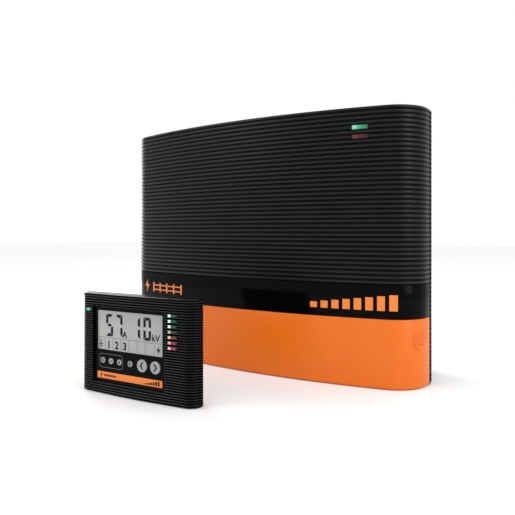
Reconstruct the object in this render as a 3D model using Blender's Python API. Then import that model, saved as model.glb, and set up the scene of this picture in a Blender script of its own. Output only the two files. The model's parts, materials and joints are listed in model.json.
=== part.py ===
"""A mains fence energizer and its free-standing controller, as separate named pieces.

Units are metres and +Z is up. The front faces -Y and the origin is on the underside
of the rear case, at mid width. The controller stands in front, in a frame of its own.
"""
import math

import bmesh
import bpy
from mathutils import Matrix, Vector

# ---- driving sizes -------------------------------------------------------------------

FIT_GAP = 0.0003               # between pieces that touch
SEAM_GAP = 0.0006              # visible seam between covers
OVERRUN = 0.006                # how far a cutter runs past the face it opens

# energizer case
CASE_WIDTH = 0.3964
CASE_HEIGHT = 0.285
CASE_DEPTH = 0.125             # front of the bow to the wall face
FRONT_BOW = 0.0275             # how far the front curves back over half the width
CORNER_RADIUS = 0.0392         # upright front corners
EDGE_RADIUS = 0.003            # top and bottom edges
CASE_WALL = 0.003
ORIGIN_SETBACK = 0.095         # origin behind the front of the bow
PARTING_SETBACK = 0.063        # parting line behind the front of the bow
RIM_DEPTH = 0.007              # straight rim of the rear case
SIDE_TAPER = 0.026             # each side comes in by this much at the wall face
TOP_TAPER = 0.012
COVER_HEIGHT = 0.0704          # terminal cover
BAND_TOP = 0.105               # smooth band ends and ribs begin
BAND_THICKNESS = 0.0012
RIB_PITCH = 0.00476
FLOOR_CLEARANCE = 0.0005       # terminal cover above the floor

SEAL_OUTER = 0.0011            # seal strip's faces inside the case's outer face
SEAL_INNER = 0.0019
SEAL_DEPTH = 0.0009

# status lenses in the front cover
LENS_INSET = 0.055             # lens centre in from the side of the case
LENS_WIDTH = 0.0162
LENS_HEIGHT = 0.0042
LENS_FROM_TOP = 0.0205
LENS_SHOULDER = 0.0012
LAMP_BOARD_THICKNESS = 0.0016
LAMP_BOARD_SETBACK = 0.016
LAMP_POST_RADIUS = 0.0025

# case fixings and wall keyholes
CASE_SCREW_INSET = 0.0982      # screw in from the side of the case
SCREW_RADIUS = 0.0017
SCREW_HEAD_RADIUS = 0.0036
SCREW_HEAD_LENGTH = 0.0026
SCREW_BITE = 0.012             # thread length inside a post
COLUMN_RADIUS = 0.006
COLUMN_FLOOR = 0.004
POST_RADIUS = 0.0045
KEYHOLE_SPACING = 0.180
KEYHOLE_FROM_TOP = 0.058
KEYHOLE_RADIUS = 0.005
KEYHOLE_SLOT = 0.0052
KEYHOLE_RISE = 0.011

# terminal bay
PANEL_SETBACK = 0.050          # terminal panel behind the front of the bow
TRAY_CLEARANCE = 0.0015
SHELF_THICKNESS = 0.004
TERMINAL_COUNT = 4
TERMINAL_PITCH = 0.040
TERMINAL_HEIGHT = 0.036
STUD_RADIUS = 0.003
STUD_REACH = 0.0175            # stud beyond the panel
STUD_FLANGE_RADIUS = 0.0062
STUD_FLANGE_THICKNESS = 0.0022
HOLE_CLEARANCE = 0.0004
WASHER_RADIUS = 0.0085
WASHER_THICKNESS = 0.002
KNOB_RADIUS = 0.010
KNOB_LENGTH = 0.0205
KNOB_BORE_DEPTH = 0.0165
CABLE_EXIT_WIDTH = 0.150
CABLE_EXIT_DEPTH = 0.012
WIRE_PASS_WIDTH = 0.160

# sockets in the underside of the rear case
INLET_X = 0.118
INLET_SIZE = (0.025, 0.017)
INLET_DEPTH = 0.024
PORT_X = 0.070
PORT_SIZE = (0.016, 0.013)
PORT_DEPTH = 0.016
SOCKET_WALL = 0.002
SOCKET_FLANGE = 0.0015
SOCKET_Y = 0.002

# electronics
BOARD_WIDTH = 0.230
BOARD_THICKNESS = 0.0016
BOARD_STANDOFF = 0.008
BOARD_CLEARANCE = 0.004
BOSS_RADIUS = 0.004
CORE_SIZE = (0.062, 0.026, 0.052)
CORE_WINDOW = (0.012, 0.030)
CORE_LEG = 0.024
WINDING_DEPTH = 0.050
CAPACITOR_RADIUS = 0.0175
CAPACITOR_LENGTH = 0.050
CAPACITOR_PITCH = 0.0365
SINK_SIZE = (0.034, 0.042, 0.060)
SINK_FINS = 6
SINK_BASE = 0.004
THYRISTOR_SIZE = (0.005, 0.016, 0.020)
CHOKE_RADIUS = 0.0095
CHOKE_WIRE = 0.0042
MODULE_SIZE = (0.050, 0.028, 0.018)
FUSE_RADIUS = 0.0026
FUSE_LENGTH = 0.020

# controller
PANEL_UNIT_WIDTH = 0.1438
PANEL_UNIT_HEIGHT = 0.0975
PANEL_UNIT_DEPTH = 0.032
PANEL_UNIT_BOW = 0.0033
PANEL_UNIT_CORNER = 0.0119
PANEL_UNIT_EDGE = 0.003
PANEL_UNIT_WALL = 0.002
PANEL_UNIT_PLACE = (-0.0175, -0.2403, 0.0)
PANEL_UNIT_TURN = math.radians(4.85)
SHELL_DEPTH = 0.0155           # front shell
SHELL_TOP_WALL = 0.0048
SHELL_LAND = 0.008             # flat of the top before it falls to the back
SHELL_FALL = 0.0022
REAR_STEP = 0.0008             # rear shell inside the front shell's outline
REAR_CORNER = 0.006
PLATE_THICKNESS = 0.0025
PLATE_TAPER = 0.002
TUB_INSET = 0.018              # raised tub inside the plate's edge
TUB_DROP = 0.007
TUB_RISE = 0.001
TUB_TAPER = 0.004
WINDOW_LEFT = -0.052
WINDOW_RIGHT = 0.0385
WINDOW_BOTTOM = 0.0125
WINDOW_TOP_MARGIN = 0.012
FASCIA_LIP = 0.0025            # fascia behind the window's edge
FASCIA_SETBACK = 0.0046
FASCIA_THICKNESS = 0.002
DISPLAY_LEFT = -0.048
DISPLAY_RIGHT = 0.0336
DISPLAY_BOTTOM = 0.0423
DISPLAY_TOP = 0.0812
DISPLAY_THICKNESS = 0.003
LAMP_COUNT = 7
LAMP_PITCH = 0.0049
LAMP_SIZE = (0.0088, 0.0022)
LAMP_X = 0.0471
LAMP_TOP = 0.0821
POWER_LENS_X = -0.0583
POWER_LENS_Z = 0.0812
POWER_LENS_SIZE = (0.0080, 0.0026)
KEY_ROW = 0.0322
KEY_TRAVEL = 0.0008
KEY_PROUD = 0.0008
KEY_LENGTH = 0.002
SMALL_KEY_RADIUS = 0.0028
LARGE_KEY_RADIUS = 0.0059
KEYS = (                       # name, place across the face, radius
    ("standby_key", -0.0404, SMALL_KEY_RADIUS),
    ("minus_key", -0.0297, SMALL_KEY_RADIUS),
    ("plus_key", -0.0190, SMALL_KEY_RADIUS),
    ("settings_key", -0.0054, SMALL_KEY_RADIUS),
    ("previous_key", 0.0094, LARGE_KEY_RADIUS),
    ("next_key", 0.0254, LARGE_KEY_RADIUS),
)
MAT_THICKNESS = 0.0018
CONTROL_BOARD_SETBACK = 0.0105
UNIT_SCREW_INSET = 0.0089      # screw in from the side of the controller
UNIT_SCREW_MARGIN = 0.010      # and from its foot and top
UNIT_POST_RADIUS = 0.0032
UNIT_SCREW_RADIUS = 0.0012
UNIT_HEAD_RADIUS = 0.0023
UNIT_HEAD_LENGTH = 0.0012
UNIT_SCREW_BITE = 0.006
UNIT_SOCKET_SIZE = (0.014, 0.009)
UNIT_SOCKET_DEPTH = 0.012

# smoothness of curves
BOW_STEPS = 16
CORNER_STEPS = 6
EDGE_STEPS = 2
ROUND_STEPS = 24

# ---- places worked out from the sizes ------------------------------------------------

FRONT_Y = -ORIGIN_SETBACK
PARTING_Y = FRONT_Y + PARTING_SETBACK
RIM_Y = PARTING_Y + RIM_DEPTH
WALL_Y = FRONT_Y + CASE_DEPTH
PANEL_Y = FRONT_Y + PANEL_SETBACK
HALF_WIDTH = CASE_WIDTH / 2
LENS_X = HALF_WIDTH - LENS_INSET
BAND_SEAT = BAND_THICKNESS + FIT_GAP
COVER_TOP = COVER_HEIGHT
SHELL_BOTTOM = COVER_TOP + SEAM_GAP
BOARD_Y = WALL_Y - CASE_WALL - BOARD_STANDOFF
BOARD_FACE = BOARD_Y - BOARD_THICKNESS
LOW_SCREW_Z = COVER_TOP + SHELF_THICKNESS / 2 + COLUMN_RADIUS + BOARD_CLEARANCE
HIGH_SCREW_Z = CASE_HEIGHT - TOP_TAPER - CASE_WALL - COLUMN_RADIUS - FIT_GAP * 5
BOARD_BOTTOM = LOW_SCREW_Z + COLUMN_RADIUS + BOARD_CLEARANCE
BOARD_TOP = HIGH_SCREW_Z - COLUMN_RADIUS - BOARD_CLEARANCE
FASCIA_BACK = FASCIA_SETBACK + FASCIA_THICKNESS
WINDOW_TOP = PANEL_UNIT_HEIGHT - WINDOW_TOP_MARGIN


def clear_scene():
    for item in list(bpy.data.objects):
        bpy.data.objects.remove(item, do_unlink=True)


# ---- finishes ------------------------------------------------------------------------

def linear(hex_colour):
    channels = [int(hex_colour[i:i + 2], 16) / 255 for i in (0, 2, 4)]
    return [c / 12.92 if c <= 0.04045 else ((c + 0.055) / 1.055) ** 2.4 for c in channels] + [1.0]


def finish(name, hex_colour, roughness, metallic=0.0):
    material = bpy.data.materials.new(name)
    material.use_nodes = True
    shader = material.node_tree.nodes["Principled BSDF"]
    shader.inputs["Base Color"].default_value = linear(hex_colour)
    shader.inputs["Roughness"].default_value = roughness
    shader.inputs["Metallic"].default_value = metallic
    material.diffuse_color = linear(hex_colour)
    return material


# ---- outlines ------------------------------------------------------------------------

def bow_outline(half_width, bow, corner, front_y, back_y, inset):
    """Plan of a bowed front with rounded corners, as (x, y) from back left to back right."""
    radius = (half_width ** 2 + bow ** 2) / (2 * bow)
    centre_y = front_y + radius
    corner_x = half_width - corner
    corner_y = centre_y - math.sqrt((radius - corner) ** 2 - corner_x ** 2)
    tangent = math.atan2(corner_x, centre_y - corner_y)
    right = []
    for step in range(1, BOW_STEPS // 2 + 1):
        angle = tangent * step / (BOW_STEPS // 2)
        right.append(((radius - inset) * math.sin(angle), centre_y - (radius - inset) * math.cos(angle)))
    for step in range(1, CORNER_STEPS + 1):
        angle = tangent + (math.pi / 2 - tangent) * step / CORNER_STEPS
        x = corner_x + (corner - inset) * math.sin(angle)
        right.append((x, corner_y - (corner - inset) * math.cos(angle)))
    right.append((half_width - inset, back_y))
    left = [(-x, y) for x, y in reversed(right)]
    return left + [(0.0, front_y + inset)] + right


def case_outline(inset, back_y=PARTING_Y - FIT_GAP):
    return bow_outline(HALF_WIDTH, FRONT_BOW, CORNER_RADIUS, FRONT_Y, back_y, inset)


def unit_outline(inset, back_y=SHELL_DEPTH):
    half_width = PANEL_UNIT_WIDTH / 2
    return bow_outline(half_width, PANEL_UNIT_BOW, PANEL_UNIT_CORNER, 0.0, back_y, inset)


def bow_y(x, inset=0.0):
    """Height of the energizer's bowed front at a place across it."""
    radius = (HALF_WIDTH ** 2 + FRONT_BOW ** 2) / (2 * FRONT_BOW)
    return FRONT_Y + radius - math.sqrt((radius - inset) ** 2 - x ** 2)


def bow_angle(x):
    radius = (HALF_WIDTH ** 2 + FRONT_BOW ** 2) / (2 * FRONT_BOW)
    return math.asin(x / radius)


def unit_bow_y(x, inset=0.0):
    half_width = PANEL_UNIT_WIDTH / 2
    radius = (half_width ** 2 + PANEL_UNIT_BOW ** 2) / (2 * PANEL_UNIT_BOW)
    return radius - math.sqrt((radius - inset) ** 2 - x ** 2)


def rounded_rectangle(half_width, low, high, radius, foot_radius, steps=3):
    """An upright rectangle as (x, z), counter-clockwise seen along +Y."""
    corners = (
        (half_width, low, foot_radius, -90),
        (half_width, high, radius, 0),
        (-half_width, high, radius, 90),
        (-half_width, low, foot_radius, 180),
    )
    points = []
    for x, z, round_off, start in corners:
        centre_x = x - math.copysign(round_off, x)
        centre_z = z + round_off if z == low else z - round_off
        for step in range(steps + 1):
            angle = math.radians(start + 90 * step / steps)
            points.append((centre_x + round_off * math.cos(angle), centre_z + round_off * math.sin(angle)))
    return points


def arch_path(inset, foot):
    """Up one side of the rear case, over its top and down the other, as (x, z)."""
    side = HALF_WIDTH - inset
    top = CASE_HEIGHT - inset
    radius = EDGE_RADIUS - inset
    path = [(side, foot)]
    for step in range(4):
        angle = math.radians(30 * step)
        path.append((side - radius + radius * math.cos(angle), top - radius + radius * math.sin(angle)))
    return path + [(-x, z) for x, z in reversed(path)]


def rear_half_width(y):
    return HALF_WIDTH - SIDE_TAPER * (y - RIM_Y) / (WALL_Y - RIM_Y)


def rear_top(y):
    return CASE_HEIGHT - TOP_TAPER * (y - RIM_Y) / (WALL_Y - RIM_Y)


# ---- solids --------------------------------------------------------------------------

def loft(rings):
    """A closed solid through rings of matching 3-D points, capped at both ends."""
    shape = bmesh.new()
    rows = [[shape.verts.new(point) for point in ring] for ring in rings]
    count = len(rows[0])
    for low, high in zip(rows, rows[1:]):
        for i in range(count):
            j = (i + 1) % count
            shape.faces.new((low[i], low[j], high[j], high[i]))
    shape.faces.new(reversed(rows[0]))
    shape.faces.new(rows[-1])
    bmesh.ops.recalc_face_normals(shape, faces=shape.faces)
    return shape


def prism(outline, low, high):
    return loft([[(x, y, low) for x, y in outline], [(x, y, high) for x, y in outline]])


def upright_prism(outline, front, back):
    """An (x, z) outline drawn out along Y."""
    return loft([[(x, front, z) for x, z in outline], [(x, back, z) for x, z in outline]])


def stack(levels):
    """Plan outlines one above the other, as (z, outline) pairs."""
    return loft([[(x, y, z) for x, y in outline] for z, outline in levels])


def block(size, centre):
    shape = bmesh.new()
    place = Matrix.Translation(centre) @ Matrix.Diagonal((*size, 1.0))
    bmesh.ops.create_cube(shape, size=1.0, matrix=place)
    return shape


def span(low, high):
    """A block from its lowest to its highest corner."""
    low, high = Vector(low), Vector(high)
    return block(high - low, (low + high) / 2)


def rod(radius, start, end, steps=ROUND_STEPS):
    """A cylinder between two points."""
    start, end = Vector(start), Vector(end)
    turn = Vector((0, 0, 1)).rotation_difference(end - start).to_matrix().to_4x4()
    shape = bmesh.new()
    bmesh.ops.create_cone(shape, cap_ends=True, segments=steps, radius1=radius, radius2=radius,
                          depth=(end - start).length, matrix=Matrix.Translation((start + end) / 2) @ turn)
    return shape


def turned(profile, steps=ROUND_STEPS):
    """A piece turned about the Y axis, from (y, radius) pairs that begin and end on the axis."""
    rings = []
    for y, radius in profile[1:-1]:
        angles = [2 * math.pi * i / steps for i in range(steps)]
        rings.append([(radius * math.cos(a), y, radius * math.sin(a)) for a in angles])
    return loft(rings)


def tube(outer, inner, front, back, steps=ROUND_STEPS):
    """A plain ring about the Y axis."""
    shape = bmesh.new()
    rows = []
    for y, radius in ((front, outer), (back, outer), (back, inner), (front, inner)):
        angles = [2 * math.pi * i / steps for i in range(steps)]
        rows.append([shape.verts.new((radius * math.cos(a), y, radius * math.sin(a))) for a in angles])
    for row, following in zip(rows, rows[1:] + rows[:1]):
        for i in range(steps):
            j = (i + 1) % steps
            shape.faces.new((row[i], row[j], following[j], following[i]))
    bmesh.ops.recalc_face_normals(shape, faces=shape.faces)
    return shape


def add_part(name, shape, material, parent=None, place=(0.0, 0.0, 0.0), turn=0.0):
    mesh = bpy.data.meshes.new(name)
    shape.to_mesh(mesh)
    shape.free()
    mesh.shade_smooth()
    mesh.set_sharp_from_angle(angle=math.radians(32))
    item = bpy.data.objects.new(name, mesh)
    bpy.context.scene.collection.objects.link(item)
    item.location = place
    item.rotation_euler = (0.0, 0.0, turn)
    item.parent = parent
    if material:
        mesh.materials.append(material)
    return item


def combine(item, shape, operation, label):
    """Cut a shape from a piece, or join it on, with a hidden guide object."""
    guide = add_part(f"{item.name}_{label}", shape, None, parent=item.parent)
    guide.location = item.location
    guide.rotation_euler = item.rotation_euler
    guide.hide_render = True
    guide.display_type = "WIRE"
    step = item.modifiers.new(label, "BOOLEAN")
    step.operation = operation
    step.solver = "EXACT"
    step.object = guide


def cut(item, shape, label):
    combine(item, shape, "DIFFERENCE", label)


def join(item, shape, label):
    combine(item, shape, "UNION", label)


def add_empty(name, place, parent=None, turn=0.0):
    empty = bpy.data.objects.new(name, None)
    bpy.context.scene.collection.objects.link(empty)
    empty.location = place
    empty.rotation_euler = (0.0, 0.0, turn)
    empty.parent = parent
    return empty


# ---- energizer casing ----------------------------------------------------------------

def screw_places():
    side = HALF_WIDTH - CASE_SCREW_INSET
    return [(x, z) for z in (LOW_SCREW_Z, HIGH_SCREW_Z) for x in (-side, side)]


def build_rear_case(material):
    outer = []
    for y in (PARTING_Y, RIM_Y, WALL_Y):
        half, top = (HALF_WIDTH, CASE_HEIGHT) if y < WALL_Y else (rear_half_width(y), rear_top(y))
        outline = rounded_rectangle(half, 0.0, top, EDGE_RADIUS, EDGE_RADIUS)
        outer.append([(x, y, z) for x, z in outline])
    item = add_part("rear_case", loft(outer), material)

    inner = []
    floor_y = WALL_Y - CASE_WALL
    for y in (PARTING_Y - OVERRUN, RIM_Y, floor_y):
        taper_y = max(y, RIM_Y)
        half = rear_half_width(taper_y) - CASE_WALL
        outline = rounded_rectangle(half, CASE_WALL, rear_top(taper_y) - CASE_WALL, 0.001, 0.001)
        inner.append([(x, y, z) for x, z in outline])
    cut(item, loft(inner), "cavity")

    sunk = floor_y + CASE_WALL / 2
    for number, (x, z) in enumerate(screw_places(), 1):
        join(item, rod(COLUMN_RADIUS, (x, PARTING_Y, z), (x, sunk, z)), f"column_{number}")
    for number, (x, z) in enumerate(board_corners(), 1):
        join(item, rod(BOSS_RADIUS, (x, BOARD_Y + FIT_GAP, z), (x, sunk, z), 12), f"boss_{number}")
    for number, (x, z) in enumerate(screw_places(), 1):
        seat_y = PARTING_Y + COLUMN_FLOOR
        bore = SCREW_RADIUS + HOLE_CLEARANCE
        cut(item, rod(bore, (x, PARTING_Y - OVERRUN, z), (x, WALL_Y, z), 16), f"bore_{number}")
        well = SCREW_HEAD_RADIUS + HOLE_CLEARANCE
        cut(item, rod(well, (x, seat_y, z), (x, WALL_Y + OVERRUN, z), 16), f"well_{number}")

    keyhole_z = CASE_HEIGHT - KEYHOLE_FROM_TOP
    for side in (-1, 1):
        x = side * KEYHOLE_SPACING / 2
        low_y, high_y = floor_y - OVERRUN / 2, WALL_Y + OVERRUN
        cut(item, rod(KEYHOLE_RADIUS, (x, low_y, keyhole_z), (x, high_y, keyhole_z)), f"keyhole_{side}")
        half_slot = KEYHOLE_SLOT / 2
        slot = span((x - half_slot, low_y, keyhole_z), (x + half_slot, high_y, keyhole_z + KEYHOLE_RISE))
        cut(item, slot, f"keyslot_{side}")
    for label, x, size in (("inlet_hole", INLET_X, INLET_SIZE), ("port_hole", PORT_X, PORT_SIZE)):
        hole = (size[0] + 2 * FIT_GAP, size[1] + 2 * FIT_GAP, 2 * (CASE_WALL + OVERRUN))
        cut(item, block(hole, (x, SOCKET_Y, 0.0)), label)
    groove = arch_path(SEAL_OUTER - FIT_GAP, SHELL_BOTTOM)
    groove += reversed(arch_path(SEAL_INNER + FIT_GAP, SHELL_BOTTOM))
    cut(item, upright_prism(groove, PARTING_Y - OVERRUN, PARTING_Y + SEAL_DEPTH + FIT_GAP), "groove")
    return item


def build_case_seal(material):
    foot = SHELL_BOTTOM + 2 * FIT_GAP
    outline = arch_path(SEAL_OUTER, foot) + list(reversed(arch_path(SEAL_INNER, foot)))
    return add_part("case_seal", upright_prism(outline, PARTING_Y, PARTING_Y + SEAL_DEPTH), material)


def lens_heights():
    top = CASE_HEIGHT - LENS_FROM_TOP
    return top, top - 2 * RIB_PITCH


def lens_block(x, z, width, height, front_inset, depth):
    """A block square to the bowed front, whose face is front_inset behind it."""
    turn = Matrix.Rotation(bow_angle(x), 4, "Z")
    face = Matrix.Translation((x, bow_y(x), z)) @ turn
    shape = block((width, depth, height), (0.0, front_inset + depth / 2, 0.0))
    bmesh.ops.transform(shape, matrix=face, verts=shape.verts)
    return shape


def build_front_cover(material):
    levels = [(SHELL_BOTTOM, case_outline(0.0))]
    for step in range(EDGE_STEPS + 1):
        angle = math.pi / 2 * step / EDGE_STEPS
        rise = EDGE_RADIUS * (1 - math.sin(angle))
        levels.append((CASE_HEIGHT - rise, case_outline(EDGE_RADIUS * (1 - math.cos(angle)))))
    item = add_part("front_cover", stack(levels), material)

    open_y = PARTING_Y + OVERRUN
    low_inset = BAND_SEAT + CASE_WALL
    step_z = BAND_TOP + CASE_WALL
    seat = case_outline(-OVERRUN, open_y) + list(reversed(case_outline(BAND_SEAT, open_y)))
    cut(item, prism(seat, SHELL_BOTTOM - OVERRUN, BAND_TOP), "band_seat")
    cut(item, prism(case_outline(low_inset, open_y), SHELL_BOTTOM - OVERRUN, step_z), "low_cavity")
    high_cavity = prism(case_outline(CASE_WALL, open_y), step_z - FIT_GAP, CASE_HEIGHT - CASE_WALL)
    cut(item, high_cavity, "high_cavity")

    post_end = PARTING_Y - 2 * FIT_GAP
    for number, (x, z) in enumerate(screw_places(), 1):
        root = bow_y(x, low_inset if z < step_z else CASE_WALL) - CASE_WALL / 2
        join(item, rod(POST_RADIUS, (x, root, z), (x, post_end, z)), f"post_{number}")
        pilot_end = post_end - SCREW_BITE - OVERRUN / 2
        bore = SCREW_RADIUS + FIT_GAP
        cut(item, rod(bore, (x, pilot_end, z), (x, post_end + OVERRUN, z), 16), f"pilot_{number}")
    for number, z in enumerate(lamp_post_heights(), 1):
        root = bow_y(LENS_X, CASE_WALL / 2)
        end = lamp_board_face() - FIT_GAP
        join(item, rod(LAMP_POST_RADIUS, (LENS_X, root, z), (LENS_X, end, z), 12), f"lamp_post_{number}")
    for number, z in enumerate(lens_heights(), 1):
        width = LENS_WIDTH + 2 * FIT_GAP
        slot = lens_block(LENS_X, z, width, LENS_HEIGHT + 2 * FIT_GAP, -OVERRUN, 2 * OVERRUN)
        cut(item, slot, f"lens_slot_{number}")
    return item


def lamp_board_face():
    return bow_y(LENS_X) + LAMP_BOARD_SETBACK


def lamp_post_heights():
    high, low = lens_heights()
    step = RIB_PITCH * 2
    return low - step, high + step


def build_status_lenses(green, red, board_finish):
    for name, z, material in zip(("fence_lamp_lens", "fault_lamp_lens"), lens_heights(), (green, red)):
        depth = CASE_WALL + 2 * FIT_GAP + LENS_SHOULDER
        item = add_part(name, lens_block(LENS_X, z, LENS_WIDTH, LENS_HEIGHT, 0.0, depth), material)
        width, height = LENS_WIDTH + 0.003, LENS_HEIGHT + 0.003
        shoulder_at = CASE_WALL + 2 * FIT_GAP
        join(item, lens_block(LENS_X, z, width, height, shoulder_at, LENS_SHOULDER), "shoulder")
    low, high = lamp_post_heights()
    face = lamp_board_face()
    low_corner = (LENS_X - 0.014, face, low - RIB_PITCH)
    high_corner = (LENS_X + 0.014, face + LAMP_BOARD_THICKNESS, high + RIB_PITCH)
    add_part("lamp_board", span(low_corner, high_corner), board_finish)


def build_name_band(material):
    outline = case_outline(0.0) + list(reversed(case_outline(BAND_THICKNESS)))
    return add_part("name_band", prism(outline, SHELL_BOTTOM, BAND_TOP - FIT_GAP), material)


def build_case_screws(material):
    for number, (x, z) in enumerate(screw_places(), 1):
        head_y = PARTING_Y + COLUMN_FLOOR + FIT_GAP
        tip_y = PARTING_Y - SCREW_BITE
        profile = [(tip_y, 0.0), (tip_y, SCREW_RADIUS * 0.6), (tip_y + 0.002, SCREW_RADIUS),
                   (head_y, SCREW_RADIUS), (head_y, SCREW_HEAD_RADIUS),
                   (head_y + SCREW_HEAD_LENGTH, SCREW_HEAD_RADIUS * 0.9), (head_y + SCREW_HEAD_LENGTH, 0.0)]
        item = add_part(f"case_screw_{number}", turned(profile, 16), material, place=(x, 0.0, z))
        slot = span((-SCREW_HEAD_RADIUS, head_y + 0.0014, -0.0005), (SCREW_HEAD_RADIUS, WALL_Y, 0.0005))
        cut(item, slot, "slot")


# ---- terminal bay --------------------------------------------------------------------

def terminal_places():
    first = -(TERMINAL_COUNT - 1) / 2
    return [(first + i) * TERMINAL_PITCH for i in range(TERMINAL_COUNT)]


def build_terminal_tray(material):
    half = HALF_WIDTH - CASE_WALL - TRAY_CLEARANCE
    foot = FLOOR_CLEARANCE + CASE_WALL + 2 * FIT_GAP
    back = PARTING_Y - FIT_GAP
    item = add_part("terminal_tray", span((-half, PANEL_Y, foot), (half, back, COVER_TOP)), material)
    inside = half - CASE_WALL
    hollow_low = (-inside, PANEL_Y + CASE_WALL, foot + CASE_WALL)
    hollow_high = (inside, back + OVERRUN, COVER_TOP + OVERRUN)
    cut(item, span(hollow_low, hollow_high), "hollow")
    low = COVER_TOP - SHELF_THICKNESS / 2
    inset = BAND_SEAT + CASE_WALL + 2 * FIT_GAP
    join(item, prism(case_outline(inset), low, low + SHELF_THICKNESS), "shelf")
    wires = span((-WIRE_PASS_WIDTH / 2, PANEL_Y + 2 * CASE_WALL, low - OVERRUN),
                 (WIRE_PASS_WIDTH / 2, back + OVERRUN, low + SHELF_THICKNESS + OVERRUN))
    cut(item, wires, "wire_pass")
    hole = STUD_RADIUS + HOLE_CLEARANCE
    for number, x in enumerate(terminal_places(), 1):
        start = (x, PANEL_Y - OVERRUN, TERMINAL_HEIGHT)
        cut(item, rod(hole, start, (x, PANEL_Y + OVERRUN, TERMINAL_HEIGHT)), f"stud_hole_{number}")
    return item


def build_terminals(brass, fence_finish, earth_finish):
    flange_y = PANEL_Y + CASE_WALL + FIT_GAP
    washer_back = PANEL_Y - FIT_GAP
    washer_front = washer_back - WASHER_THICKNESS
    knob_back = washer_front - FIT_GAP
    knob_front = knob_back - KNOB_LENGTH
    bore = STUD_RADIUS + HOLE_CLEARANCE
    for number, x in enumerate(terminal_places(), 1):
        place = (x, 0.0, TERMINAL_HEIGHT)
        tip = PANEL_Y - STUD_REACH
        flange_back = flange_y + STUD_FLANGE_THICKNESS
        stud = [(tip, 0.0), (tip, STUD_RADIUS * 0.75), (tip + 0.001, STUD_RADIUS),
                (flange_y, STUD_RADIUS), (flange_y, STUD_FLANGE_RADIUS),
                (flange_back, STUD_FLANGE_RADIUS), (flange_back, 0.0)]
        add_part(f"terminal_stud_{number}", turned(stud, 20), brass, place=place)
        carrier = add_empty(f"terminal_axis_{number}", place)
        add_part(f"clamp_washer_{number}", tube(WASHER_RADIUS, bore, washer_front, washer_back), brass,
                 parent=carrier)
        body = [(knob_front, 0.0), (knob_front, KNOB_RADIUS * 0.8),
                (knob_front + 0.002, KNOB_RADIUS * 0.92), (knob_back - 0.004, KNOB_RADIUS),
                (knob_back, KNOB_RADIUS * 0.9), (knob_back, 0.0)]
        material = fence_finish if number % 2 else earth_finish
        knob = add_part(f"terminal_knob_{number}", turned(body), material, parent=carrier)
        bore_end = (0.0, knob_back - KNOB_BORE_DEPTH, 0.0)
        cut(knob, rod(bore, bore_end, (0.0, knob_back + OVERRUN, 0.0)), "bore")


def build_terminal_cover(material):
    foot = FLOOR_CLEARANCE
    levels = []
    for step in range(EDGE_STEPS + 1):
        angle = math.pi / 2 * step / EDGE_STEPS
        rise = EDGE_RADIUS * (1 - math.cos(angle))
        levels.append((foot + rise, case_outline(EDGE_RADIUS * (1 - math.sin(angle)))))
    levels.append((COVER_TOP, case_outline(0.0)))
    item = add_part("terminal_cover", stack(levels), material)
    inside = case_outline(CASE_WALL, PARTING_Y + OVERRUN)
    cut(item, prism(inside, foot + CASE_WALL, COVER_TOP + OVERRUN), "inside")
    exit_back = PANEL_Y - CASE_WALL
    exit_low = (-CABLE_EXIT_WIDTH / 2, exit_back - CABLE_EXIT_DEPTH, foot - OVERRUN)
    exit_high = (CABLE_EXIT_WIDTH / 2, exit_back, foot + CASE_WALL + OVERRUN)
    cut(item, span(exit_low, exit_high), "cable_exit")
    return item


def build_socket(name, x, size, depth, pin_places, material, parent=None, y=SOCKET_Y, wall=CASE_WALL):
    """A socket whose mouth faces down through the floor of a shell."""
    foot = 2 * FIT_GAP
    width, length = size
    body = span((x - width / 2, y - length / 2, foot), (x + width / 2, y + length / 2, foot + depth))
    item = add_part(name, body, material, parent=parent)
    flange_foot = wall + FIT_GAP
    flange = block((width + 2 * SOCKET_FLANGE, length + 2 * SOCKET_FLANGE, SOCKET_WALL),
                   (x, y, flange_foot + SOCKET_WALL / 2))
    join(item, flange, "flange")
    mouth = span((x - width / 2 + SOCKET_WALL, y - length / 2 + SOCKET_WALL, foot - OVERRUN),
                 (x + width / 2 - SOCKET_WALL, y + length / 2 - SOCKET_WALL, foot + depth - SOCKET_WALL))
    cut(item, mouth, "mouth")
    for number, (pin_x, pin_y) in enumerate(pin_places, 1):
        top = foot + depth - SOCKET_WALL / 2
        pin = span((x + pin_x - 0.001, y + pin_y - 0.0005, foot + depth * 0.35),
                   (x + pin_x + 0.001, y + pin_y + 0.0005, top))
        join(item, pin, f"pin_{number}")
    return item


# ---- electronics ---------------------------------------------------------------------

def board_corners():
    margin = BOSS_RADIUS + 0.002
    half = BOARD_WIDTH / 2 - margin
    return [(x, z) for z in (BOARD_BOTTOM + margin, BOARD_TOP - margin) for x in (-half, half)]


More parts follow.
